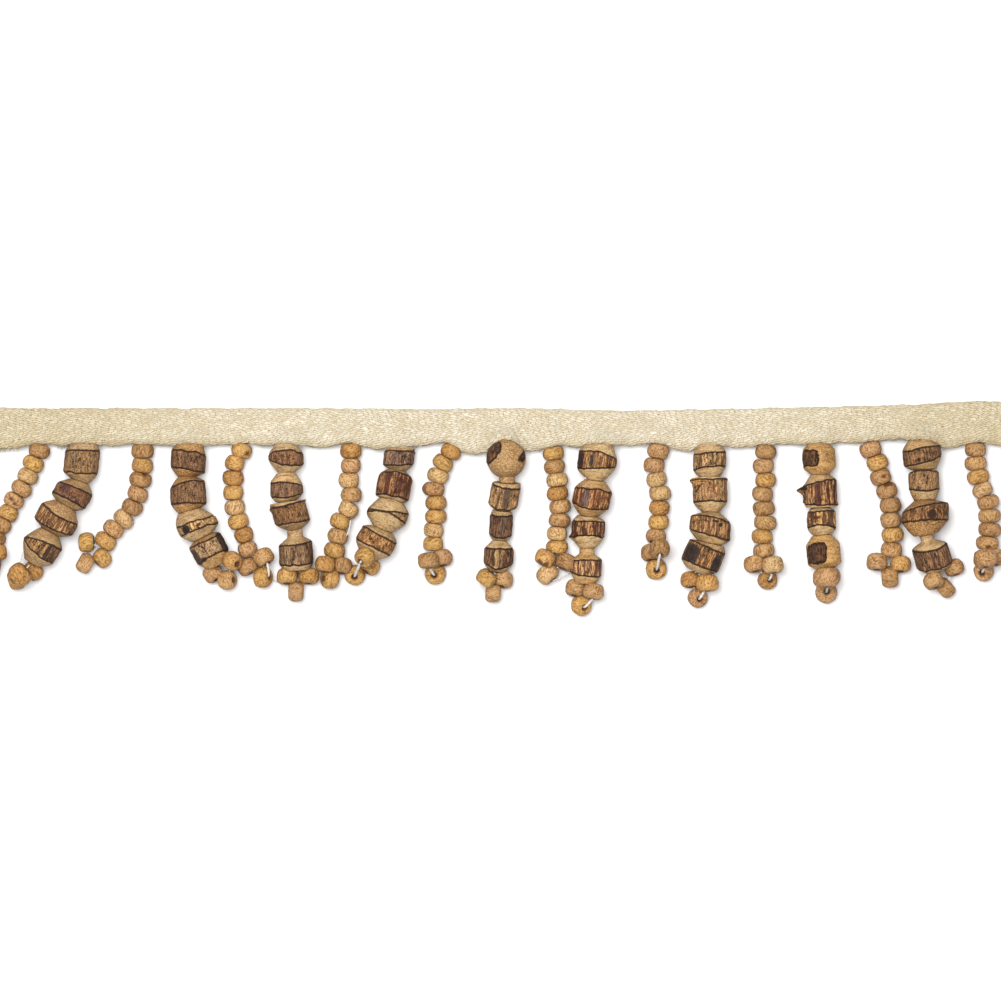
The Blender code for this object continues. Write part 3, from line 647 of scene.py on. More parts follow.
WIDE_BEADS = {             # picot bead: how much larger than the rest
    23: 1.15, 112: 1.1, 132: 1.08, 143: 1.06, 153: 1.06, 162: 1.08, 163: 1.26,
    172: 1.1, 173: 1.06, 193: 1.12,
}
SHOWN_LOOPS = {            # strand: where its picot's thread shows, from its end; None: between two beads
    5: None, 8: None, 9: (-1.2, -4.0, 5.4), 12: (2.1, -4.0, 5.0), 13: None, 14: (2.6, -4.9, 5.2),
    15: (2.3, -3.6, 5.6), 16: (0.8, -3.8, 5.6), 19: (-0.2, -4.2, 6.0),
}
print("picots:", len(PICOTS), "and with thread on top:", len(SHOWN_LOOPS))

# %% [markdown]
# ## Where every bead lies
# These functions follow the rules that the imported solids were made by: beads are strung one
# against the other from the tape's edge, a bark bead rests on the floor on its bark, and the
# thread bends between beads.

# %% Strand geometry
CLEARANCE = 0.36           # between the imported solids
RESTING = 0.03             # between a bead and the floor
BEAD_D = 5.9
BEAD_LENGTH = 4.1
BALL_X, BALL_R = 1.6, 5.55  # root and radius of the turned ball
LIFTING_ROUNDS = 12


def tape_edge(x):
    """y of the tape's open edge, which rides over the turned ball."""
    edge = interpolate(x, TAPE, 2)
    ridge_r = BALL_R + 2 * CLEARANCE
    middle_y = interpolate(BALL_X, TAPE, 2) - CLEARANCE - BALL_R
    across = abs(x - BALL_X)
    if across < ridge_r:
        edge = max(edge, middle_y + math.sqrt(ridge_r ** 2 - across ** 2))
    return edge


def small_bead_line(strand):
    """Middles and axes of a small strand's beads."""
    _, root_x, pitch, _, drifts = strand
    z = BEAD_D / 2 + RESTING
    y = tape_edge(root_x) - CLEARANCE - BEAD_LENGTH / 2
    middles = [Vector((root_x + drifts[0], y, z))]
    for before, after in zip(drifts, drifts[1:]):
        y -= math.sqrt(pitch ** 2 - (after - before) ** 2)
        middles.append(Vector((root_x + after, y, z)))
    root = Vector((root_x, tape_edge(root_x), z))
    line = [root] + middles + [middles[-1] * 2 - middles[-2]]
    return middles, [(after - before).normalized() for before, after in zip(line, line[2:])]


def bark_joints(strand):
    """Where a bark strand's thread bends: above, between and below its beads."""
    _, root_x, beads = strand
    radii = [row[4] / 2 for row in beads]
    heights = [radii[0]] + [(a + b) / 2 for a, b in zip(radii, radii[1:])] + [radii[-1]]
    for _ in range(LIFTING_ROUNDS):
        for k, row in enumerate(beads):
            for share in (row[3], row[5]):
                z = heights[k] + (heights[k + 1] - heights[k]) * share
                short = radii[k] + RESTING - z
                if short > 0:
                    heights[k] += short
                    heights[k + 1] += short
    x, y = root_x, tape_edge(root_x) - CLEARANCE / 2
    joints = [Vector((x, y, heights[0]))]
    for row, low, high in zip(beads, heights, heights[1:]):
        along = row[0] - (x - root_x)
        x = root_x + row[0]
        y -= math.sqrt(row[1] ** 2 - along ** 2 - (high - low) ** 2)
        joints.append(Vector((x, y, high)))
    return joints


print("strand 1's last bead, in mm:", [round(v, 1) for v in small_bead_line(SMALL_STRANDS[0])[0][-1]])

# %% [markdown]
# ## How a picot settles
# A picot's three beads start where the table aims them. Then they push each other apart until they
# only touch. The beads at the strand's end push them too, the floor carries them, and a gentle pull
# keeps each near its aim.

# %% Picot geometry
PICOT_BEAD_D = 5.95
PICOT_BEAD_LENGTH = 4.4
SETTLING_ROUNDS = 150
SNUG = 0.97                # beads count as this much smaller, so that they touch
PULL = 0.06                # share of the way back to its aim that a bead moves in each round


def reach(axis, way, radius, half):
    """How far a bead with this axis reaches towards a neighbour."""
    lean = abs(way.dot(axis))
    return SNUG / math.sqrt((lean / half) ** 2 + (1 - lean ** 2) / radius ** 2)


def picot_beads(number, end, solids):
    """Middles and axes of a picot's three beads, settled against each other and the strand."""
    radius, half = PICOT_BEAD_D / 2, PICOT_BEAD_LENGTH / 2
    aims = [Vector((end.x + x, end.y + y, max(height, default=0))) for x, y, *height in PICOTS[number]]
    stops = [end] + aims + [end]
    axes = []
    for k in range(3):
        way = stops[k + 2] - stops[k]
        way.z = (1.5, 0.0, -1.0)[k]
        axes.append(Vector(TIPS.get(10 * number + k + 1, way)).normalized())
    rest = [math.hypot(a.x, a.y) * radius + abs(a.z) * half * 0.5 + RESTING for a in axes]
    for aim, low in zip(aims, rest):
        aim.z = max(low, aim.z)
    middles = [aim.copy() for aim in aims]
    for _ in range(SETTLING_ROUNDS):
        for aim, middle in zip(aims, middles):
            middle += (aim - middle) * PULL
        for a in range(3):
            for b in range(a + 1, 3):
                way = middles[b] - middles[a]
                gap = way.length
                way.normalize()
                short = reach(axes[a], way, radius, half) + reach(axes[b], way, radius, half) - gap
                if short > 0:
                    middles[a] -= way * short / 2
                    middles[b] += way * short / 2
            for centre, size in solids:
                way = middles[a] - centre
                short = size + reach(axes[a], way.normalized(), radius, half) - way.length
                if short > 0:
                    middles[a] += way.normalized() * short
        for k, middle in enumerate(middles):
            middle.z = max(middle.z, rest[k])
    return middles, axes


print("heights in picot 1:", [round(middle.z, 1) for middle in picot_beads(1, Vector((0, 0, 3)), [])[0]])

# %% [markdown]
# ## The folded tape
# One closed skin: a U laid on its side, with the fold away from the strands. Its open edges lift
# to the height of the beads' holes, because the threads come out between them, and sag between
# strands. The upper layer is puckered by the threads sewn in under it.

# %% Smooth lines


def eased(x, rows, column):
    """As interpolate, but smooth through the rows."""
    xs = np.array([row[0] for row in rows])
    ys = np.array([row[column] for row in rows])
    slopes = np.gradient(ys, xs)
    k = np.clip(np.searchsorted(xs, x) - 1, 0, len(xs) - 2)
    width = xs[k + 1] - xs[k]
    t = (x - xs[k]) / width
    a, b = 2 * t ** 3 - 3 * t ** 2 + 1, t ** 3 - 2 * t ** 2 + t
    c, d = 3 * t ** 2 - 2 * t ** 3, t ** 3 - t ** 2
    return a * ys[k] + b * width * slopes[k] + c * ys[k + 1] + d * width * slopes[k + 1]


print("open edge between two stations, straight and eased:", round(interpolate(-48, TAPE, 2), 2),
      round(float(eased(np.array([-48.0]), TAPE, 2)[0]), 2))

# %% Tape mesh
LAYER = 1.0                # thickness of one layer
INNER_GAP = 1.5            # between the two layers
TAPE_HEIGHT = 2 * LAYER + INNER_GAP
FOLD_R = MID_GAP_Z = TAPE_HEIGHT / 2
FLAT_SHARE = 0.3           # of the tape's width, from the fold, that doesn't lift
TAPE_END = 146.7
LAYER_POINTS = 19          # across each face of a layer
FOLD_POINTS, INNER_POINTS = 7, 3  # round the fold, outside and inside
STATION = 0.6              # from ring to ring along the tape
RIDGE_HALF = 6.5           # how far to the turned ball's sides the tape's edge rides up
END_LIFTS = [(-147.0, 0.5), (147.0, 0.5)]  # x and lift of the open edge at the cut ends


def tape_skin():
    """The tape's skin, and the line of its upper layer's lip."""
    lifts = [(strand[1], BEAD_D / 2 - MID_GAP_Z) for strand in SMALL_STRANDS]
    lifts += [(strand[1], bark_joints(strand)[0].z - MID_GAP_Z) for strand in BARK_STRANDS]
    lifts.sort()
    sagging = [((a[0] + b[0]) / 2, 0.25 * (a[1] + b[1]) / 2) for a, b in zip(lifts, lifts[1:])]
    stations = np.arange(-TAPE_END, TAPE_END + 0.01, STATION)
    lift = eased(stations, sorted(lifts + sagging + END_LIFTS), 1)[:, None]
    edge = eased(stations, TAPE, 2)
    over_ball = np.abs(stations - BALL_X) < RIDGE_HALF
    edge[over_ball] = [max(tape_edge(x), y) for x, y in zip(stations[over_ball], edge[over_ball])]
    shares = np.linspace(0.0, 1.0, LAYER_POINTS)
    middle = (eased(stations, TAPE, 1) - FOLD_R)[:, None]
    line = stacked(stations, 0.0, 0.0)
    lower_wave = 0.2 * unevenness(line, 2.3, 11) + 0.10 * unevenness(line, 6.0, 12)
    upper_wave = 0.22 * unevenness(line, 2.6, 13) + 0.12 * unevenness(line, 7.0, 14) - 0.18
    fold_wave = 0.16 * unevenness(line, 3.0, 15)[:, None]

    def layer(wave, level):
        """One face of a layer, from near the fold to the open edge."""
        run = np.clip((shares - FLAT_SHARE) / (1 - FLAT_SHARE), 0, 1)
        y = middle - (middle - (edge + wave)[:, None]) * shares
        return stacked(stations[:, None], y, lift * run ** 2 * (3 - 2 * run) + level)

    low_out, low_in = layer(lower_wave, 0.0), layer(lower_wave, LAYER)
    top_in, top_out = layer(upper_wave, TAPE_HEIGHT - LAYER), layer(upper_wave, TAPE_HEIGHT)
    pucker = unevenness(top_out * np.array((1.0, 0.8, 0.0)), 7.0, 21) * 0.22
    pucker += unevenness(top_out * np.array((0.6, 2.0, 0.0)), 2.2, 22) * 0.09
    top_out[..., 2] += pucker - 0.5 * np.clip((shares - 0.78) / 0.22, 0, 1) ** 2
    low_out[..., 2] += 0.08 * unevenness(low_out, 3.0, 23) * (shares > 0.35)

    def arc(radius, count, wave):
        """Rounds the fold between two faces."""
        angle = np.linspace(0, math.pi, count + 2)[1:-1]
        y, z = middle + (radius + wave) * np.sin(angle), FOLD_R - radius * np.cos(angle)
        return stacked(stations[:, None], y, z)

    def lip(first, second):
        """Rounds the cut edge between two faces of a layer."""
        halfway = (first[:, -1:] + second[:, -1:]) / 2
        halfway[..., 1] -= LAYER * 0.22
        return halfway

    grid = np.concatenate([
        low_out[:, ::-1], arc(FOLD_R, FOLD_POINTS, fold_wave), top_out, lip(top_out, top_in), top_in[:, ::-1],
        arc(INNER_GAP / 2, INNER_POINTS, 0.0)[:, ::-1], low_in, lip(low_in, low_out)], axis=1)
    step = np.linalg.norm(np.diff(grid, axis=1), axis=-1)
    across = np.concatenate([np.zeros((len(stations), 1)), np.cumsum(step, axis=1)], axis=1)
    across -= across[:, LAYER_POINTS + FOLD_POINTS // 2][:, None]
    # Painted shade towards the open edge, where the cloth curves down: the finish darkens by it.
    near = np.clip((shares - 0.74) / 0.26, 0, 1) ** 1.5
    near = [near[::-1], np.zeros(FOLD_POINTS), near, [1.0], near[::-1], np.zeros(INNER_POINTS), near, [1.0]]
    skin = Skin(CLOTH_PAINT)
    skin.add(grid, place=stacked(grid[..., 0], across, 0.0), open_edge=np.concatenate(near))
    return skin, grid[:, 2 * LAYER_POINTS + FOLD_POINTS]


print("points round the tape:", 4 * LAYER_POINTS + FOLD_POINTS + INNER_POINTS + 2)

# %% Tape in place
tape_mesh, lip_line = tape_skin()
tape = tape_mesh.make("header_tape_cloth", [tape_cloth], flip=True)
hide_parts("header_tape")
print("tape faces:", len(tape.data.polygons))

# %% [markdown]
# ## A small bead
# A small bead is turned, so it is a profile spun round its hole: a barrel whose flat mouths rest
# against its neighbours', with a rounded rim. No two real ones match, so each is given its own
# slight wobble, lean, size, chance tone and direction of grain. Some have a nick in the rim.

# %% Small bead
TOUCH = 0.05               # between beads, which nearly touch
BEAD_SIDES = 28
BEAD_BORE = 0.68
BARREL = (                 # share of the half length, share of the radius: half of the profile
    (0.965, 0.3), (1, 0.5), (0.99, 0.61), (0.94, 0.7), (0.84, 0.8), (0.66, 0.9), (0.38, 0.975), (0, 1),
)
BORE = ((0.99, 0.12), (0.9, 0), (0, 0), (-0.9, 0), (-0.99, 0.12))  # share of the half length, flare
WOODS = {                  # tints of unvarnished wood: brown, orange, tan, golden and pale
    "b": (157, 118, 74), "o": (163, 119, 64), "t": (172, 132, 87), "g": (179, 137, 78), "p": (187, 151, 103),
}
STRAND_WOODS = {           # strand: the wood of each bead from the tape down, then of the picot's three
    1: "bgpttgbb ooo", 2: " ooo", 3: "bgbtbptg gtg", 4: " ttg", 5: "ggogpgot tgb", 6: " gto",
    7: "otptpgtg bgo", 8: " ggg", 9: "ogpbggpg tgb", 10: " ttg", 11: "gbpottpg bpg", 12: " tgt",
    13: "ttppogt bgb", 14: " otg", 15: "btgtbtgt top", 16: " ttt", 17: "tgbbbtgt gbt", 18: " tbt",
    19: "btgpbtbt ttt",
}


def add_small_bead(skin, middle, axis, diameter, length, key):
    """One turned bead with its hole; key is 100 times its strand's number and its own."""
    rng = np.random.default_rng(key)
    half = length / 2 - TOUCH / 2
    profile = [(-at * half, r * diameter / 2) for at, r in BARREL]
    profile += [(at * half, r * diameter / 2) for at, r in BARREL[-2::-1]]
    bore = [(at * half, BEAD_BORE + flare) for at, flare in BORE]
    columns = zip(*profile, *bore)
    along, radius = (np.repeat(np.array(column)[:, None], BEAD_SIDES, axis=1) for column in columns)
    angle = np.broadcast_to(np.linspace(0, 2 * math.pi, BEAD_SIDES, endpoint=False), along.shape)
    wall = (np.arange(len(along)) < len(profile))[:, None] * 1.0
    local = stacked(radius * np.cos(angle), radius * np.sin(angle), along)
    turned, _ = np.linalg.qr(rng.normal(size=(3, 3)) * (0.6, 0.6, 1.0))
    place = local @ turned + rng.uniform(0, 500, 3)
    turned_radius = radius.copy()
    nick = np.clip(unevenness(place, 2.4, 7) - 1.05, 0, 1) * 0.8
    for side, at in CHIPS.get(key, ()):
        turn = (np.degrees(angle) - side + 180) % 360 - 180
        nick += 0.9 * np.exp(-(turn / 20) ** 2 - ((along / half - at) / 0.3) ** 2)
    radius += wall * (unevenness(place, 4.0, 5) * 0.13 + unevenness(place, 1.7, 6) * 0.05 - nick)
    radius *= 1 + wall * rng.uniform(-0.055, 0.03)
    along = along + wall * rng.uniform(-0.07, 0.07) * radius * np.cos(angle + rng.uniform(0, 6.28))
    grid = place_grid(middle, axis, along, radius, angle)
    # Painted shade: darker round the hole's edge, at the rim where the bead meets its neighbour, in its nicks
    # and all through the hole.
    hole_edge_shade = np.exp(-((turned_radius / diameter - 0.15) / 0.04) ** 2)
    crevice_shade = np.exp(-((np.abs(local[..., 2]) / half - 0.95) / 0.09) ** 2) * (turned_radius > 0.33 * diameter)
    mouth = wall * (hole_edge_shade * 0.75 + crevice_shade * 0.5) + (1 - wall) + np.clip(nick * 1.6, 0, 1)
    number, bead = divmod(key, 100)
    strung, picot = STRAND_WOODS[number].split(" ")
    letter = picot[bead - PICOT_FROM - 1] if bead > PICOT_FROM else strung[bead - 1]
    wood = np.array(tone(*WOODS[letter])[:3])
    tint = wood * rng.uniform(0.94, 1.1) * (1, rng.uniform(0.97, 1.02), rng.uniform(0.94, 1.04))
    skin.add(grid, loop=True, place=place, bead_tint=tint, mouth=mouth)


print("rings of a small bead:", 2 * len(BARREL) - 1 + len(BORE))

# %% [markdown]
# ## Thread
# The thread is a thin tube along a smooth curve through the points that it must pass: beads'
# mouths, and the bends between them. It shows in the picots, in the cracks between beads and where
# a slack bit of it lies beside a strand.

# %% Thread tube
THREAD_R = 0.2             # a single thread
LOOP_R = 0.36              # two threads that lie together
THREAD_SIDES = 8


def rounded(stops, rounds=3):
    """Cuts the corners off a line of points, again and again, until it is a smooth curve."""
    line = [np.array(stop) for stop in stops]
    for _ in range(rounds):
        cut = [line[0]]
        for a, b in zip(line, line[1:]):
            cut += [a * 0.75 + b * 0.25, a * 0.25 + b * 0.75]
        line = cut + [line[-1]]
    return np.array(line)


def add_thread(skin, stops, radius=THREAD_R):
    """A tube along a smooth curve through the stops."""
    route = rounded(stops)
    ways = np.gradient(route, axis=0)
    ways /= np.linalg.norm(ways, axis=1)[:, None] + 1e-9
    side = np.cross(ways[0], (0.3, 0.2, 1.0))
    rings, place, length = [], [], 0.0
    angle = np.linspace(0, 2 * math.pi, THREAD_SIDES, endpoint=False)
    for k, (point, way) in enumerate(zip(route, ways)):
        side = side - way * (side @ way)
        side /= np.linalg.norm(side) + 1e-9
        length += np.linalg.norm(point - route[max(k - 1, 0)])
        spoke = np.cos(angle)[:, None] * side + np.sin(angle)[:, None] * np.cross(way, side)
        rings.append(point + radius * spoke)
        place.append(stacked(3 * radius * np.cos(angle), 3 * radius * np.sin(angle), length))
    skin.add(np.array(rings), slot=1, place=np.array(place))


LOOSE_THREADS = {          # strand: points of a slack bit of thread, x, y and height
    2: ((-136.3, -12.6, 4.2), (-136.8, -14.4, 4.6), (-137.2, -16.4, 5.0), (-136.4, -18.0, 5.4)),
    5: ((-65.3, -20.0, 1.6), (-64.6, -20.7, 1.0), (-63.4, -20.9, 0.8), (-62.2, -20.8, 1.2)),
    7: ((-42.7, -3.4, 4.4), (-42.9, -5.4, 4.6), (-43.6, -7.4, 4.6), (-44.8, -9.4, 4.2)),
    11: ((20.8, -17.2, 3.0), (19.2, -18.7, 2.4), (17.2, -19.9, 2.4), (15.0, -20.6, 3.0)),
    12: ((26.6, 8.6, 7.6), (23.9, 8.9, 6.6), (23.7, 7.8, 6.2), (24.9, 6.6, 6.8)),
}


def root_stops(x, lift):
    """The hidden start of a thread, between the layers of the tape."""
    edge = tape_edge(x)
    width = interpolate(x, TAPE, 1) - FOLD_R - edge
    stops = []
    for share in (0.3, 0.52, 0.76, 1.0):
        run = (share - FLAT_SHARE) / (1 - FLAT_SHARE)
        stops.append(Vector((x, edge + width * (1 - share), MID_GAP_Z + lift * run * run * (3 - 2 * run))))
    return stops


print("points of a slack thread, given and rounded:", [len(LOOSE_THREADS[2]), len(rounded(LOOSE_THREADS[2]))])

# %% [markdown]
# ## Frayed yarns
# The tape's open edge was never hemmed. Short yarn tips stand out of it all along, with tufts at the
# left end, round the second strand and at one place near the middle. Each tip is a short bent thread
# that starts inside the cloth, in the tape's own finish.

# %% Frayed yarns
TUFTS = (                  # x, spread and number of yarns
    (-141.5, 3.6, 26), (-126, 0.7, 7), (-123.8, 0.6, 7), (-118.6, 2.6, 16), (41.6, 0.6, 6), (0, 140, 90),
)
YARN_SEED = 61
YARN_R = 0.13
YARN_SIDES = 6
YARN_TAPER = (1, 1, 1, 0.9, 0.7, 0.35)  # share of the radius, from root to tip


def frayed_skin(line):
    """Yarn tips along the lip of the tape's upper layer."""
    rng = np.random.default_rng(YARN_SEED)
    skin = Skin(CLOTH_PAINT)
    angle = np.linspace(0, 2 * math.pi, YARN_SIDES, endpoint=False)
    ring = stacked(np.cos(angle), 0.0, np.sin(angle))
    t = np.linspace(0, 1, len(YARN_TAPER))[:, None]
    width = YARN_R * np.array(YARN_TAPER)[:, None, None]
    for middle, spread, count in TUFTS:
        for _ in range(count):
            x = middle + rng.uniform(-1, 1) * spread
            lip = np.array([np.interp(x, line[:, 0], line[:, k]) for k in range(3)])
            out = rng.uniform(0.25, 0.9) if spread < 10 else rng.uniform(0.1, 0.45)
            lean_x, drop = rng.uniform(-0.8, 0.8), rng.uniform(0.0, 0.35)
            spine = lip + (0, 0.6, -0.1) + t * (lean_x * 0.4, -0.6 - out, 0.1)
            spine += t ** 2 * (lean_x * 0.6, 0, -drop)
            # The yarns carry the same painted edge shade, more towards each tip.
            skin.add(spine[:, None] + width * ring, place=stacked(x, 11.0 + t * 2, angle), open_edge=0.3 * t)
    return skin


frayed = frayed_skin(lip_line).make("frayed_yarns", [tape_cloth], flip=True)
print("yarn tips:", sum(tuft[2] for tuft in TUFTS))

# %% [markdown]
# ## Strands of small beads
# Each strand is one piece: its beads, the thread through them and its picot. Beads are laid along
# the line worked out above, and the thread is strung last, through their middles. In some picots
# it also shows on top, where two turns of it lie together, so that bit is drawn thicker.

# %% Strands of small beads


def add_picot(skin, number, end, solids):
    """Three beads on the thread's loop; gives back the stops of the thread, drawn tight through them."""
    middles, axes = picot_beads(number, end, solids)
    for k, (middle, axis) in enumerate(zip(middles, axes)):
        wide = WIDE_BEADS.get(10 * number + k + 1, 1.0)
        key = 100 * number + PICOT_FROM + k + 1
        add_small_bead(skin, middle, axis, PICOT_BEAD_D * wide, PICOT_BEAD_LENGTH * wide, key)
    if number in SHOWN_LOOPS:
        k = 0 if number == 5 else 1  # the first of the two beads that the shown thread joins
        half = PICOT_BEAD_LENGTH / 2
        out = middles[k] + axes[k] * (half if axes[k].z > 0 or number == 5 else -half)
        route = [middles[k], out, middles[k + 1] - axes[k + 1] * half, middles[k + 1]]
        if SHOWN_LOOPS[number]:
            x, y, z = SHOWN_LOOPS[number]
            route = [middles[k], out, Vector((end.x + x, end.y + y, z))]
        add_thread(skin, route, LOOP_R)
    if number in LOOSE_THREADS:
        add_thread(skin, LOOSE_THREADS[number])
    return [end, *middles, middles[-1] + (end - middles[-1]) * 0.8]


for strand in SMALL_STRANDS:
    number, root_x, pitch, wide, _ = strand
    skin = Skin(SMALL_PAINT)
    middles, axes = small_bead_line(strand)
    stops = root_stops(root_x, BEAD_D / 2 - MID_GAP_Z)
    for k, (middle, axis) in enumerate(zip(middles, axes)):
        middle = middle + Vector((0, 0, BEAD_D / 2 * (wide - 1)))
        add_small_bead(skin, middle, axis, BEAD_D * wide, pitch, 100 * number + k + 1)
        stops.append(middle)
    end = middles[-1] + axes[-1] * BEAD_LENGTH / 2
    stops += add_picot(skin, number, end, [(middles[-1] + axes[-1] * 0.2, 2.2), (middles[-1], 2.6)])
    add_thread(skin, stops)
    made = skin.make(f"small_bead_strand_{number:02d}", [bead_wood, cotton_thread])
    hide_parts(f"small_strand_{number:02d}")
print("small strands:", len(SMALL_STRANDS))

# %% [markdown]
# ## Bark beads, one by one
# Every slice of twig is different, and the eye reads them as the heart of this trim. The table
# gives each the heights of its bark's upper and lower edge at the left, middle and right as seen
# from above, in millimetres from the bead's top, with its bark's colour, the colour of its
# streaks, and how streaky it is. A bead that isn't there is bare wood, but for its marks of bark.

# %% Bark bead looks
BROWN_BARK, DARK_BARK, DARK_STREAK = (118, 91, 68), (88, 68, 54), (72, 50, 38)
BARK_LOOKS = {             # bead: upper edge, lower edge, bark, streaks, streakiness
    21: ((2.4, 2.0, 1.6), (8.7, 8.8, 8.2), (128, 103, 76), BROWN_BARK, 0.2),
    22: ((3.2, 2.4, 1.7), (6.7, 6.6, 6.0), (116, 84, 64), DARK_BARK, 0.2),
    23: ((2.5, 3.4, 3.0), (7.4, 7.7, 6.4), (146, 117, 84), (112, 68, 46), 0.9),
    24: ((4.6, 2.9, 2.5), (5.6, 7.2, 7.5), (140, 110, 76), DARK_STREAK, 0.7),
    41: ((2.0, 2.0, 2.9), (6.9, 7.4, 7.9), (112, 86, 66), DARK_BARK, 0.3),
    42: ((3.0, 1.6, 1.9), (7.9, 8.2, 8.3), (118, 92, 70), DARK_BARK, 0.25),
    43: ((2.5, 3.1, 4.3), (5.4, 5.7, 6.8), (178, 146, 104), DARK_STREAK, 0.5),
    44: ((1.0, 0.9, 1.2), (6.5, 5.7, 6.5), (150, 126, 100), (112, 90, 70), 0.3),
    61: ((3.1, 1.7, 3.1), (4.6, 6.2, 6.3), (124, 94, 72), DARK_BARK, 0.3),
    62: ((2.9, 2.9, 3.7), (6.9, 7.4, 6.0), (120, 94, 76), DARK_BARK, 0.4),
    63: ((0.7, 0.8, 0.6), (5.7, 6.4, 6.6), (126, 98, 70), (104, 58, 38), 0.45),
    64: ((4.1, 4.1, 3.3), (9.9, 10.0, 9.8), (124, 101, 80), (92, 68, 52), 0.5),
    81: ((1.7, 1.2, 0.7), (6.0, 5.6, 4.6), (120, 98, 86), (80, 60, 52), 0.5),
    82: ((1.6, 0.9, 1.6), (8.2, 8.0, 8.2), (130, 98, 72), (84, 44, 32), 0.95),
    83: ((4.3, 3.4, 2.2), (5.5, 3.9, 5.4), (158, 128, 92), DARK_STREAK, 0.3),
    84: ((1.5, 1.2, 1.6), (6.0, 5.4, 5.7), (150, 118, 82), (126, 70, 40), 0.4),
    102: ((0.6, 0.9, 0.9), (6.9, 7.3, 6.6), (152, 124, 92), (120, 86, 56), 0.4),
    103: ((1.2, 1.6, 0.9), (7.0, 8.1, 7.0), (100, 76, 60), DARK_STREAK, 0.6),
    104: ((2.3, 2.2, 2.0), (6.6, 8.4, 6.4), (112, 86, 66), DARK_STREAK, 0.8),
    121: ((2.6, 2.3, 3.7), (7.7, 7.2, 6.3), (158, 124, 88), (108, 72, 48), 0.7),
    122: ((2.9, 2.1, 2.5), (7.3, 8.1, 7.1), (150, 112, 78), (100, 50, 34), 0.9),
    123: ((1.6, 1.0, 1.4), (6.3, 5.2, 6.0), (146, 112, 82), (78, 42, 32), 0.95),
    124: ((3.7, 3.3, 3.1), (7.1, 8.0, 7.7), (168, 134, 102), (90, 56, 42), 0.9),
    141: ((3.0, 2.5, 2.1), (7.6, 6.6, 6.4), (158, 130, 96), DARK_STREAK, 0.75),
    142: ((0.8, 0.7, 0.6), (7.2, 7.3, 7.2), (150, 124, 92), (122, 66, 40), 0.4),
    143: ((1.2, 1.2, 2.6), (5.2, 6.9, 7.9), (160, 128, 92), (104, 66, 48), 0.85),
    144: ((0.8, 0.8, 0.9), (7.1, 6.8, 6.7), (156, 118, 80), DARK_STREAK, 0.7),
    162: ((3.1, 1.7, 1.5), (8.4, 8.6, 8.8), (150, 116, 84), (70, 34, 24), 0.95),
    163: ((1.6, 0.9, 1.2), (6.0, 5.1, 6.3), (158, 124, 84), (86, 58, 42), 0.9),
    181: ((2.6, 1.7, 2.0), (6.9, 6.3, 5.1), (118, 90, 66), DARK_BARK, 0.45),
    182: ((1.0, 0.6, 0.8), (5.9, 6.7, 5.9), (138, 111, 84), BROWN_BARK, 0.25),
    183: ((3.3, 1.4, 0.9), (6.4, 5.9, 5.8), (132, 100, 68), (96, 68, 46), 0.6),
    184: ((3.1, 4.1, 3.9), (9.2, 10.0, 9.6), (118, 90, 68), (74, 54, 42), 0.7),
}
print("slices with a band of bark:", len(BARK_LOOKS))

# %% [markdown]
# ## Marks, cones and splinters
# Some slices have what no rule would give: a dark scar, a knot, a patch of bark left on a cone, or a
# splinter at the side. These tables place them one by one, and say how pale and how orange the
# turned ends are.

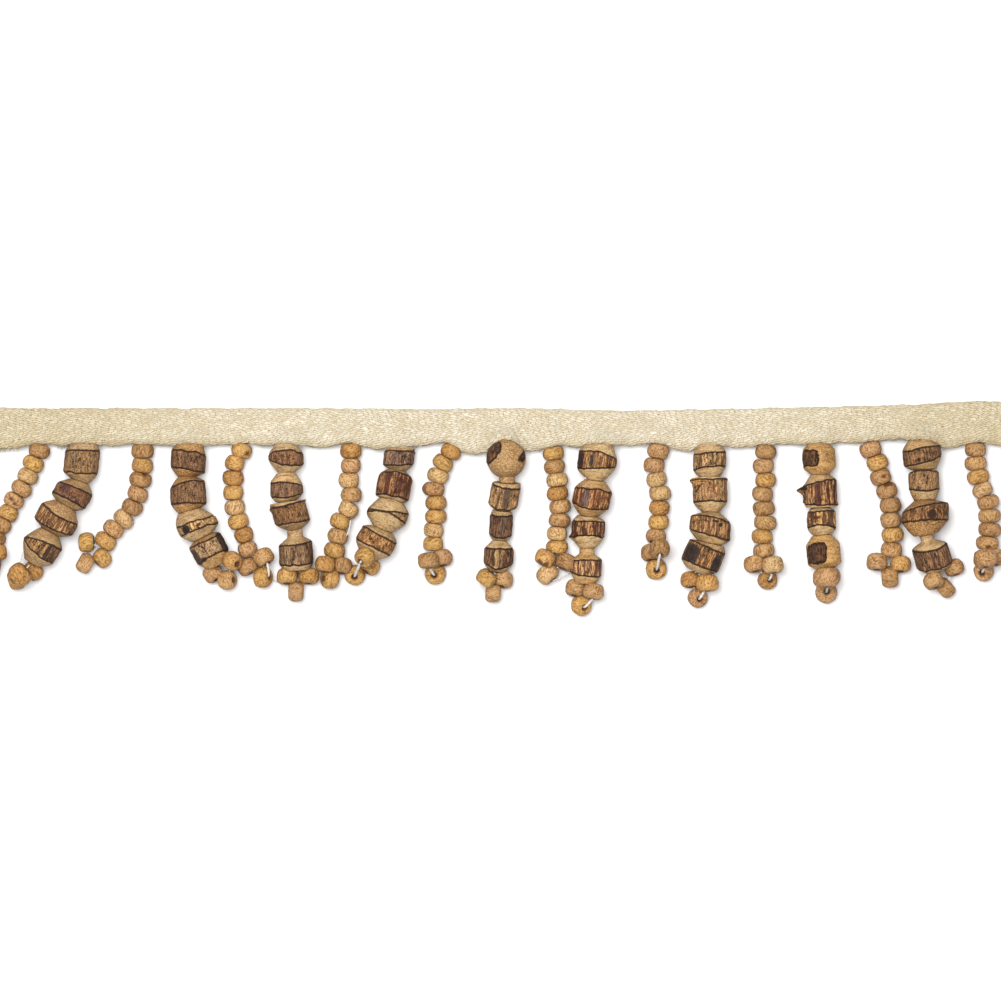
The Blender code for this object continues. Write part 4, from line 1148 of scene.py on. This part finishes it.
# %% Marks, cones and splinters
MARKS = {                  # bead: across, along, half width, half height, colour, is it bark, slant
    21: ((-2.0, 4.1, 0.35, 0.9, (110, 104, 98), 0), (1.6, 5.2, 0.25, 0.6, (150, 122, 92), 0)),
    22: ((-2.3, 4.1, 1.3, 1.1, (92, 60, 54), 0),),
    24: ((2.4, 5.2, 0.6, 2.3, (70, 52, 40), 0), (4.0, 5.6, 0.4, 1.6, (74, 54, 42), 0)),
    43: ((-3.2, 4.2, 1.2, 1.0, (42, 34, 30), 0), (0.6, 4.6, 0.7, 0.4, (78, 54, 38), 0)),
    44: ((-4.6, 4.4, 1.2, 2.6, (64, 48, 38), 0), (-2.6, 5.6, 0.9, 0.7, (64, 48, 38), 0),
         (4.4, 3.7, 0.9, 3.6, (58, 44, 36), 0)),
    64: ((4.1, 7.0, 0.4, 3.0, (100, 62, 44), 0), (-0.6, 7.0, 0.25, 1.6, (74, 56, 46), 0)),
    101: ((-5.4, 2.6, 3.2, 3.8, (138, 104, 74), 1, 37), (5.4, 4.2, 0.8, 2.2, (92, 66, 46), 1, 37)),
    102: ((0.6, 3.9, 1.0, 2.9, (98, 76, 58), 0), (-1.6, 4.6, 0.3, 2.2, (110, 84, 62), 0)),
    103: ((0.5, 4.4, 0.7, 3.3, (104, 82, 66), 0),), 104: ((-0.5, 5.0, 0.7, 2.8, (172, 136, 92), 0),),
    121: ((-4.7, 5.0, 0.9, 2.4, (58, 40, 32), 0), (-1.6, 5.0, 0.5, 1.7, (62, 54, 48), 0)),
    122: ((-1.8, 4.8, 1.0, 2.8, (112, 86, 76), 0),),
    142: ((-3.7, 1.6, 1.9, 1.5, (184, 134, 78), 0, 12), (-2.9, 1.4, 1.9, 0.26, (66, 44, 28), 0, 8),
          (-3.0, 2.5, 1.5, 0.26, (58, 38, 26), 0, -16), (-3.3, 3.5, 1.2, 0.24, (62, 42, 28), 0, -48),
          (-4.4, 1.9, 0.24, 1.2, (96, 62, 38), 0, -24), (1.2, 3.6, 0.4, 1.3, (134, 84, 56), 0)),
    143: ((1.6, 2.6, 1.0, 0.3, (54, 42, 36), 0), (2.9, 3.5, 0.5, 0.6, (54, 42, 36), 0)),
    144: ((-3.3, 4.2, 2.0, 2.6, (58, 45, 38), 0), (4.1, 4.4, 1.0, 2.9, (56, 44, 38), 0)),
    161: ((-2.6, 4.4, 2.3, 2.3, (82, 60, 44), 1),),
    162: ((-4.4, 3.6, 0.7, 0.7, (52, 38, 28), 0), (-5.4, 4.3, 0.9, 0.9, (128, 88, 54), 0),
          (-0.9, 5.2, 0.8, 3.2, (92, 56, 44), 0)), 164: ((-2.0, 5.2, 2.7, 2.9, (84, 60, 44), 1),),
    181: ((-1.3, 5.1, 0.5, 0.5, (50, 36, 28), 0),),
}
KNOTS = {                  # bead: across, along, half width, half height, how dark
    161: (2.2, 3.6, 0.75, 0.7, 0.6), 182: (0, 2.3, 0.6, 0.6, 0.8), 183: (1.9, 4.1, 1.8, 1.5, 1),
}
CONE_TONES = {             # bead: how pale the turned wood is
    21: 0.2, 22: 0.1, 23: 0.1, 24: 0.3, 41: 0, 42: 0.05, 43: 0.6, 44: 0.2,
    61: 0.7, 62: 0.85, 63: 0.4, 83: 0.7, 101: 0.15, 104: 0.6, 121: 0.85,
    123: 0.8, 141: 0.65, 142: 0.6, 143: 0.6, 161: 0.45, 163: 0.6, 164: 0.45,
    181: 0.35, 183: 0, 184: 0.65,
}                          # the rest: 0.5
CONE_WARMTH = {            # bead: how orange it is
    23: 0.3, 41: 0.8, 42: 0.8, 44: 0.7, 62: 0.3, 101: 0.4, 122: 0.5, 124: 0.6,
    143: 0.3, 161: 0.9, 164: 1, 181: 0.4, 183: 0.8,
}                          # the rest: 0
SPURS = {                  # bead: its splinters, each with side angle in degrees, along, height, width
    63: ((180, 0.9, 0.5, 0.9), (0, 0.4, 0.6, 0.8)),
    121: ((0, 4.6, 0.5, 1.4),),
    123: ((180, 6.3, 0.9, 0.7),),
    142: ((170, 0.8, 1.1, 0.8), (0, 0.7, 0.4, 0.7)),
    162: ((180, 4.4, 1.9, 0.9), (0, 8.7, 0.5, 0.6)),
    183: ((180, 5.2, 0.3, 1.2),),
}
print("marks:", sum(map(len, MARKS.values())))

# %% [markdown]
# ## Turning a bark bead
# Each ring runs round the bead. The rings are shared out between the upper cone, the bark and the
# lower cone, so that an edge of the mesh follows the bark's uneven edge all the way round. The
# bark stands a little proud and is furrowed along the twig, as it is on a real slice.

# %% Profile of a slice
BARK_SIDES = 72
TOP_RINGS, BARK_RINGS, LOW_RINGS = 12, 17, 11
BALL_RINGS, NECK_RINGS = 34, 6
BALL_SWEEP = (-68, 62)     # degrees from its waist at which the ball's skin starts and ends


def piled(*parts):
    """Rings upon rings, each part spread all the way round."""
    return np.concatenate([np.broadcast_to(part, (len(part), BARK_SIDES)) for part in parts])


def shares(count, first=1):
    """Even steps from 0 to 1, a ring to each, without the step at 0 unless first is 0."""
    return np.linspace(0, 1, count + first)[first:, None]


def slice_profile(key, row, first, last, start, stop):
    """How far along and out each ring's points are, and how much they lean with the two ends."""
    _, length, top_d, _, body_d, _, bottom_d = row
    body_r, top_r, bottom_r = body_d / 2, top_d / 2, bottom_d / 2
    if key == BALL:
        sweep = np.radians(np.linspace(*BALL_SWEEP, BALL_RINGS))[:, None]
        neck_along = np.linspace(stop - BALL_NECK * length, stop, NECK_RINGS)[:, None]
        along = piled(start + body_r + body_r * np.sin(sweep), neck_along)
        radius = piled(body_r * np.cos(sweep), bottom_r + 0 * neck_along)
        return along, radius, 0 * along, piled(np.linspace(-5, 1, len(along)).clip(0, 1)[:, None])
    q1, q2, q3 = shares(TOP_RINGS, 0), shares(BARK_RINGS), shares(LOW_RINGS)
    neck = TOP_NECKS.get(key, 0.0) * length
    rise = np.clip((start + (first - start) * q1 - neck) / (first - neck), 0, 1) if neck else q1
    cone_top = top_r + (body_r - top_r) * (1 - (1 - rise) ** 1.2)
    cone_low = bottom_r + (body_r - bottom_r) * (1 - q3 ** 1.2)
    along = piled(start + (first - start) * q1, first + (last - first) * q2, last + (stop - last) * q3)
    radius = piled(cone_top, body_r + 0 * q2, cone_low)
    return along, radius, piled(1 - q1, 0 * q2, 0 * q3), piled(0 * q1, 0 * q2, q3)


print("points of a slice's outside:", BARK_SIDES * (TOP_RINGS + BARK_RINGS + LOW_RINGS))

# %% [markdown]
# ## Marks and relief
# Marks are stains, scars and patches of bark with blunt corners, put only where the bead faces the
# sky. Then the skin is raised and furrowed where there is bark and grooved along the bark's edge,
# the turned wood gets its tool lines, and splinters stand out at the sides.

# %% Marks and relief
NO_BARK, NO_KNOT = -2.0, 9.0  # bark depth and distance from a knot where there is neither


def smooth(low, high, values):
    """0 below the low limit, 1 above the high one, and eased between them."""
    t = np.clip((values - low) / (high - low), 0, 1)
    return t * t * (3 - 2 * t)


def marks_and_knot(key, local, above, depth, bark):
    """The bark's depth and colour, marks with their tint, and a knot, where above is true."""
    across, along = local[..., 0], local[..., 2]
    mark, mark_tint = np.zeros(along.shape), np.zeros(local.shape)
    for mark_across, mark_along, half_width, half_height, colour, is_bark, *slant in MARKS.get(key, ()):
        dx, dy = across - mark_across, along - mark_along
        turn = math.radians(slant[0] if slant else 0)
        dx, dy = dx * math.cos(turn) + dy * math.sin(turn), dy * math.cos(turn) - dx * math.sin(turn)
        dx, dy = np.abs(dx) / half_width, np.abs(dy) / half_height
        size = (dx ** 4 + dy ** 4) ** 0.25 + 0.10 * unevenness(local, 1.8, key + 9)
        weight = np.where(above, np.clip(1.5 - size, 0, 1.2), 0)
        if is_bark:
            depth = np.maximum(depth, np.where(above, (1 - size) * min(half_width, half_height), NO_BARK))
            bark = colour
        else:
            closer = weight > mark
            mark = np.where(closer, weight, mark)
            mark_tint[closer] = tone(*colour)[:3]
    knot, knot_dark = np.full(along.shape, NO_KNOT), 0.0
    if key in KNOTS:
        knot_across, knot_along, half_width, half_height, knot_dark = KNOTS[key]
        away = np.hypot((across - knot_across) / half_width, (along - knot_along) / half_height)
        knot = np.where(above, away + 0.15 * unevenness(local, 2.0, key + 8), NO_KNOT)
    return depth, bark, mark, mark_tint, knot, knot_dark


def carve(key, radius, local, angle, depth, streaky, body_r, rng):
    """Changes a slice's radius to give it its relief."""
    along = local[..., 2]
    in_bark = smooth(-0.05, 0.25, depth)
    furrows = unevenness(local * np.array((1, 1, 0.13)), 1.5, key + 4)
    knobs = unevenness(local, 3.2, key + 5)
    oval = 0.10 * np.cos(2 * angle + rng.uniform(0, 6.28)) + 0.07 * np.cos(3 * angle + rng.uniform(0, 6.28))
    radius += in_bark * (0.06 + (0.05 + 0.13 * streaky) * furrows + 0.08 * knobs)
    radius += oval * smooth(0, 1.2, depth + 1)
    radius -= 0.10 * np.exp(-(depth / 0.16) ** 2)
    tool_lines = 0.02 * np.sin(along * 9 + 1.5 * knobs)
    radius += (1 - in_bark) * (tool_lines + 0.05 * unevenness(local, 1.8, key + 6))
    for side, spur_along, height, width in SPURS.get(key, ()):
        turn = np.radians(np.abs((np.degrees(angle) - side + 180) % 360 - 180)) * body_r
        radius += height * np.exp(-(turn / width) ** 2 - ((along - spur_along) / width) ** 2)


print("splinters:", sum(map(len, SPURS.values())), "and knots:", len(KNOTS))

# %% [markdown]
# ## Putting a slice together
# The bark's edges are bent through their three heights and made ragged, and the profile is turned
# between them. The hole is added last, and the rings near an end lean with it, to meet the next
# bead.

# %% Bark bead mesh
BORE_R, BORE_RINGS = 1.0, 6


def edge_round(values, cosine):
    """A height for each angle from those at the left, middle and right."""
    left, middle, right = values
    tilt, bow = (right - left) / 2, (right + left) / 2 - middle
    return middle + tilt * cosine + bow * cosine ** 2


def bored(outside, inside):
    """Adds the values of the rings inside the hole."""
    return np.concatenate([outside, np.broadcast_to(inside, (BORE_RINGS, *outside.shape[1:]))])


def bark_bead_skin(key, row, base, axis, start, stop, planes):
    """One slice of twig; planes holds how the planes of its two ends lean, across and up."""
    _, length, top_d, band_from, body_d, band_to, bottom_d = row
    body_r, top_r, bottom_r = body_d / 2, top_d / 2, bottom_d / 2
    rng = np.random.default_rng(key)
    angle = np.linspace(0, 2 * math.pi, BARK_SIDES, endpoint=False)
    cosine, sine = np.cos(angle), np.sin(angle)
    ring = stacked(cosine, sine, 0.0) * body_r
    top_lean, bottom_lean = (a * cosine + b * sine for a, b in planes)
    bare = key not in BARK_LOOKS
    upper, lower, bark, streak, streaky = BARK_LOOKS.get(
        key, ((band_from * length,) * 3, (band_to * length,) * 3, DARK_BARK, DARK_STREAK, 0.7))
    first, last = edge_round(upper, cosine), edge_round(lower, cosine)
    if not bare:
        first += 0.17 * unevenness(ring, 4.2, key) + 0.05 * unevenness(ring, 1.3, key + 1)
        last += 0.17 * unevenness(ring, 4.0, key + 2) + 0.05 * unevenness(ring, 1.2, key + 3)
    first = np.clip(first, start + top_lean * top_r + 0.3, stop + bottom_lean * bottom_r - 1.2)
    last = np.clip(last, first + 0.4, stop + bottom_lean * bottom_r - 0.3)
    along, radius, fade_top, fade_low = slice_profile(key, row, first, last, start, stop)
    local = stacked(radius * cosine, radius * sine, along)
    depth = np.full(along.shape, NO_BARK) if bare else np.minimum(along - first, last - along)
    depth, bark, mark, mark_tint, knot, knot_dark = marks_and_knot(key, local, sine > -0.2, depth, bark)
    carve(key, radius, local, angle, depth, streaky, body_r, rng)
    inner = np.array([[stop, bottom_r * 0.55 + 0.5], [stop - 0.1, BORE_R], [stop - 0.8, BORE_R * 0.9],
                      [start + 0.8, BORE_R * 0.9], [start + 0.1, BORE_R], [start, top_r * 0.55 + 0.5]])
    at_top = np.repeat((0, 1), BORE_RINGS // 2)[:, None]
    along, radius = bored(along, inner[:, :1]), bored(radius, inner[:, 1:])
    local = stacked(radius * cosine, radius * sine, along)
    along += radius * (bored(fade_top, at_top) * top_lean + bored(fade_low, 1 - at_top) * bottom_lean)
    skin = Skin(BARK_PAINT)
    skin.add(place_grid(base, axis, along, radius, np.broadcast_to(angle, along.shape)), loop=True,
             place=local + rng.uniform(0, 500, 3), bark_depth=bored(depth, NO_BARK - 1),
             bark_tint=tone(*bark)[:3], streak_tint=tone(*streak)[:3], streaky=streaky,
             mark_tint=bored(mark_tint, 0.0), mark=bored(mark, 0.0), knot=bored(knot, NO_KNOT),
             knot_dark=knot_dark, cone_tone=CONE_TONES.get(key, 0.5) + rng.uniform(-0.1, 0.1),
             cone_warmth=CONE_WARMTH.get(key, 0.0))
    return skin


print("points of a slice with its hole:", BARK_SIDES * (TOP_RINGS + BARK_RINGS + LOW_RINGS + BORE_RINGS))

# %% [markdown]
# ## Bark strands
# Where the thread bends, two slices meet at an angle. Their ends are leaned to the plane halfway
# between their axes, so that they touch all round and not at one rim alone.

# %% Bark strands


def lean(axis, normal):
    """How a plane through a bead's axis leans, as slopes along the bead's right and up."""
    right, up = square_to(axis)
    return -normal.dot(right) / normal.dot(axis), -normal.dot(up) / normal.dot(axis)


for strand in BARK_STRANDS:
    number, root_x, beads = strand
    joints = bark_joints(strand)
    runs = [after - before for before, after in zip(joints, joints[1:])]
    axes = [run.normalized() for run in runs]
    normals = [Vector((0, -1, 0))] + [(a + b).normalized() for a, b in zip(axes, axes[1:])] + [axes[-1]]
    for k, row in enumerate(beads):
        start, stop = TOUCH, runs[k].length - TOUCH
        planes = (lean(axes[k], normals[k]), lean(axes[k], normals[k + 1]))
        skin = bark_bead_skin(10 * number + k + 1, row, joints[k], axes[k], start, stop, planes)
        made = skin.make(f"twig_bead_{number:02d}_{k + 1}", [bark_wood])
        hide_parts(f"bark_bead_{number:02d}_{k + 1}")
    last = beads[-1]
    end_r, body_r = last[6] / 2, last[4] / 2
    body_at = joints[-1] - axes[-1] * last[1] * (1 - (last[3] + last[5]) / 2)
    solids = [(joints[-1] - axes[-1] * end_r, end_r), (body_at, body_r)]
    skin = Skin(SMALL_PAINT)
    stops = root_stops(root_x, joints[0].z - MID_GAP_Z) + joints[1:-1]
    stops += add_picot(skin, number, joints[-1], solids)
    add_thread(skin, stops)
    made = skin.make(f"picot_thread_{number:02d}", [bead_wood, cotton_thread])
    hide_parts(f"thread_and_picot_{number:02d}")
print("bark strands:", len(BARK_STRANDS))
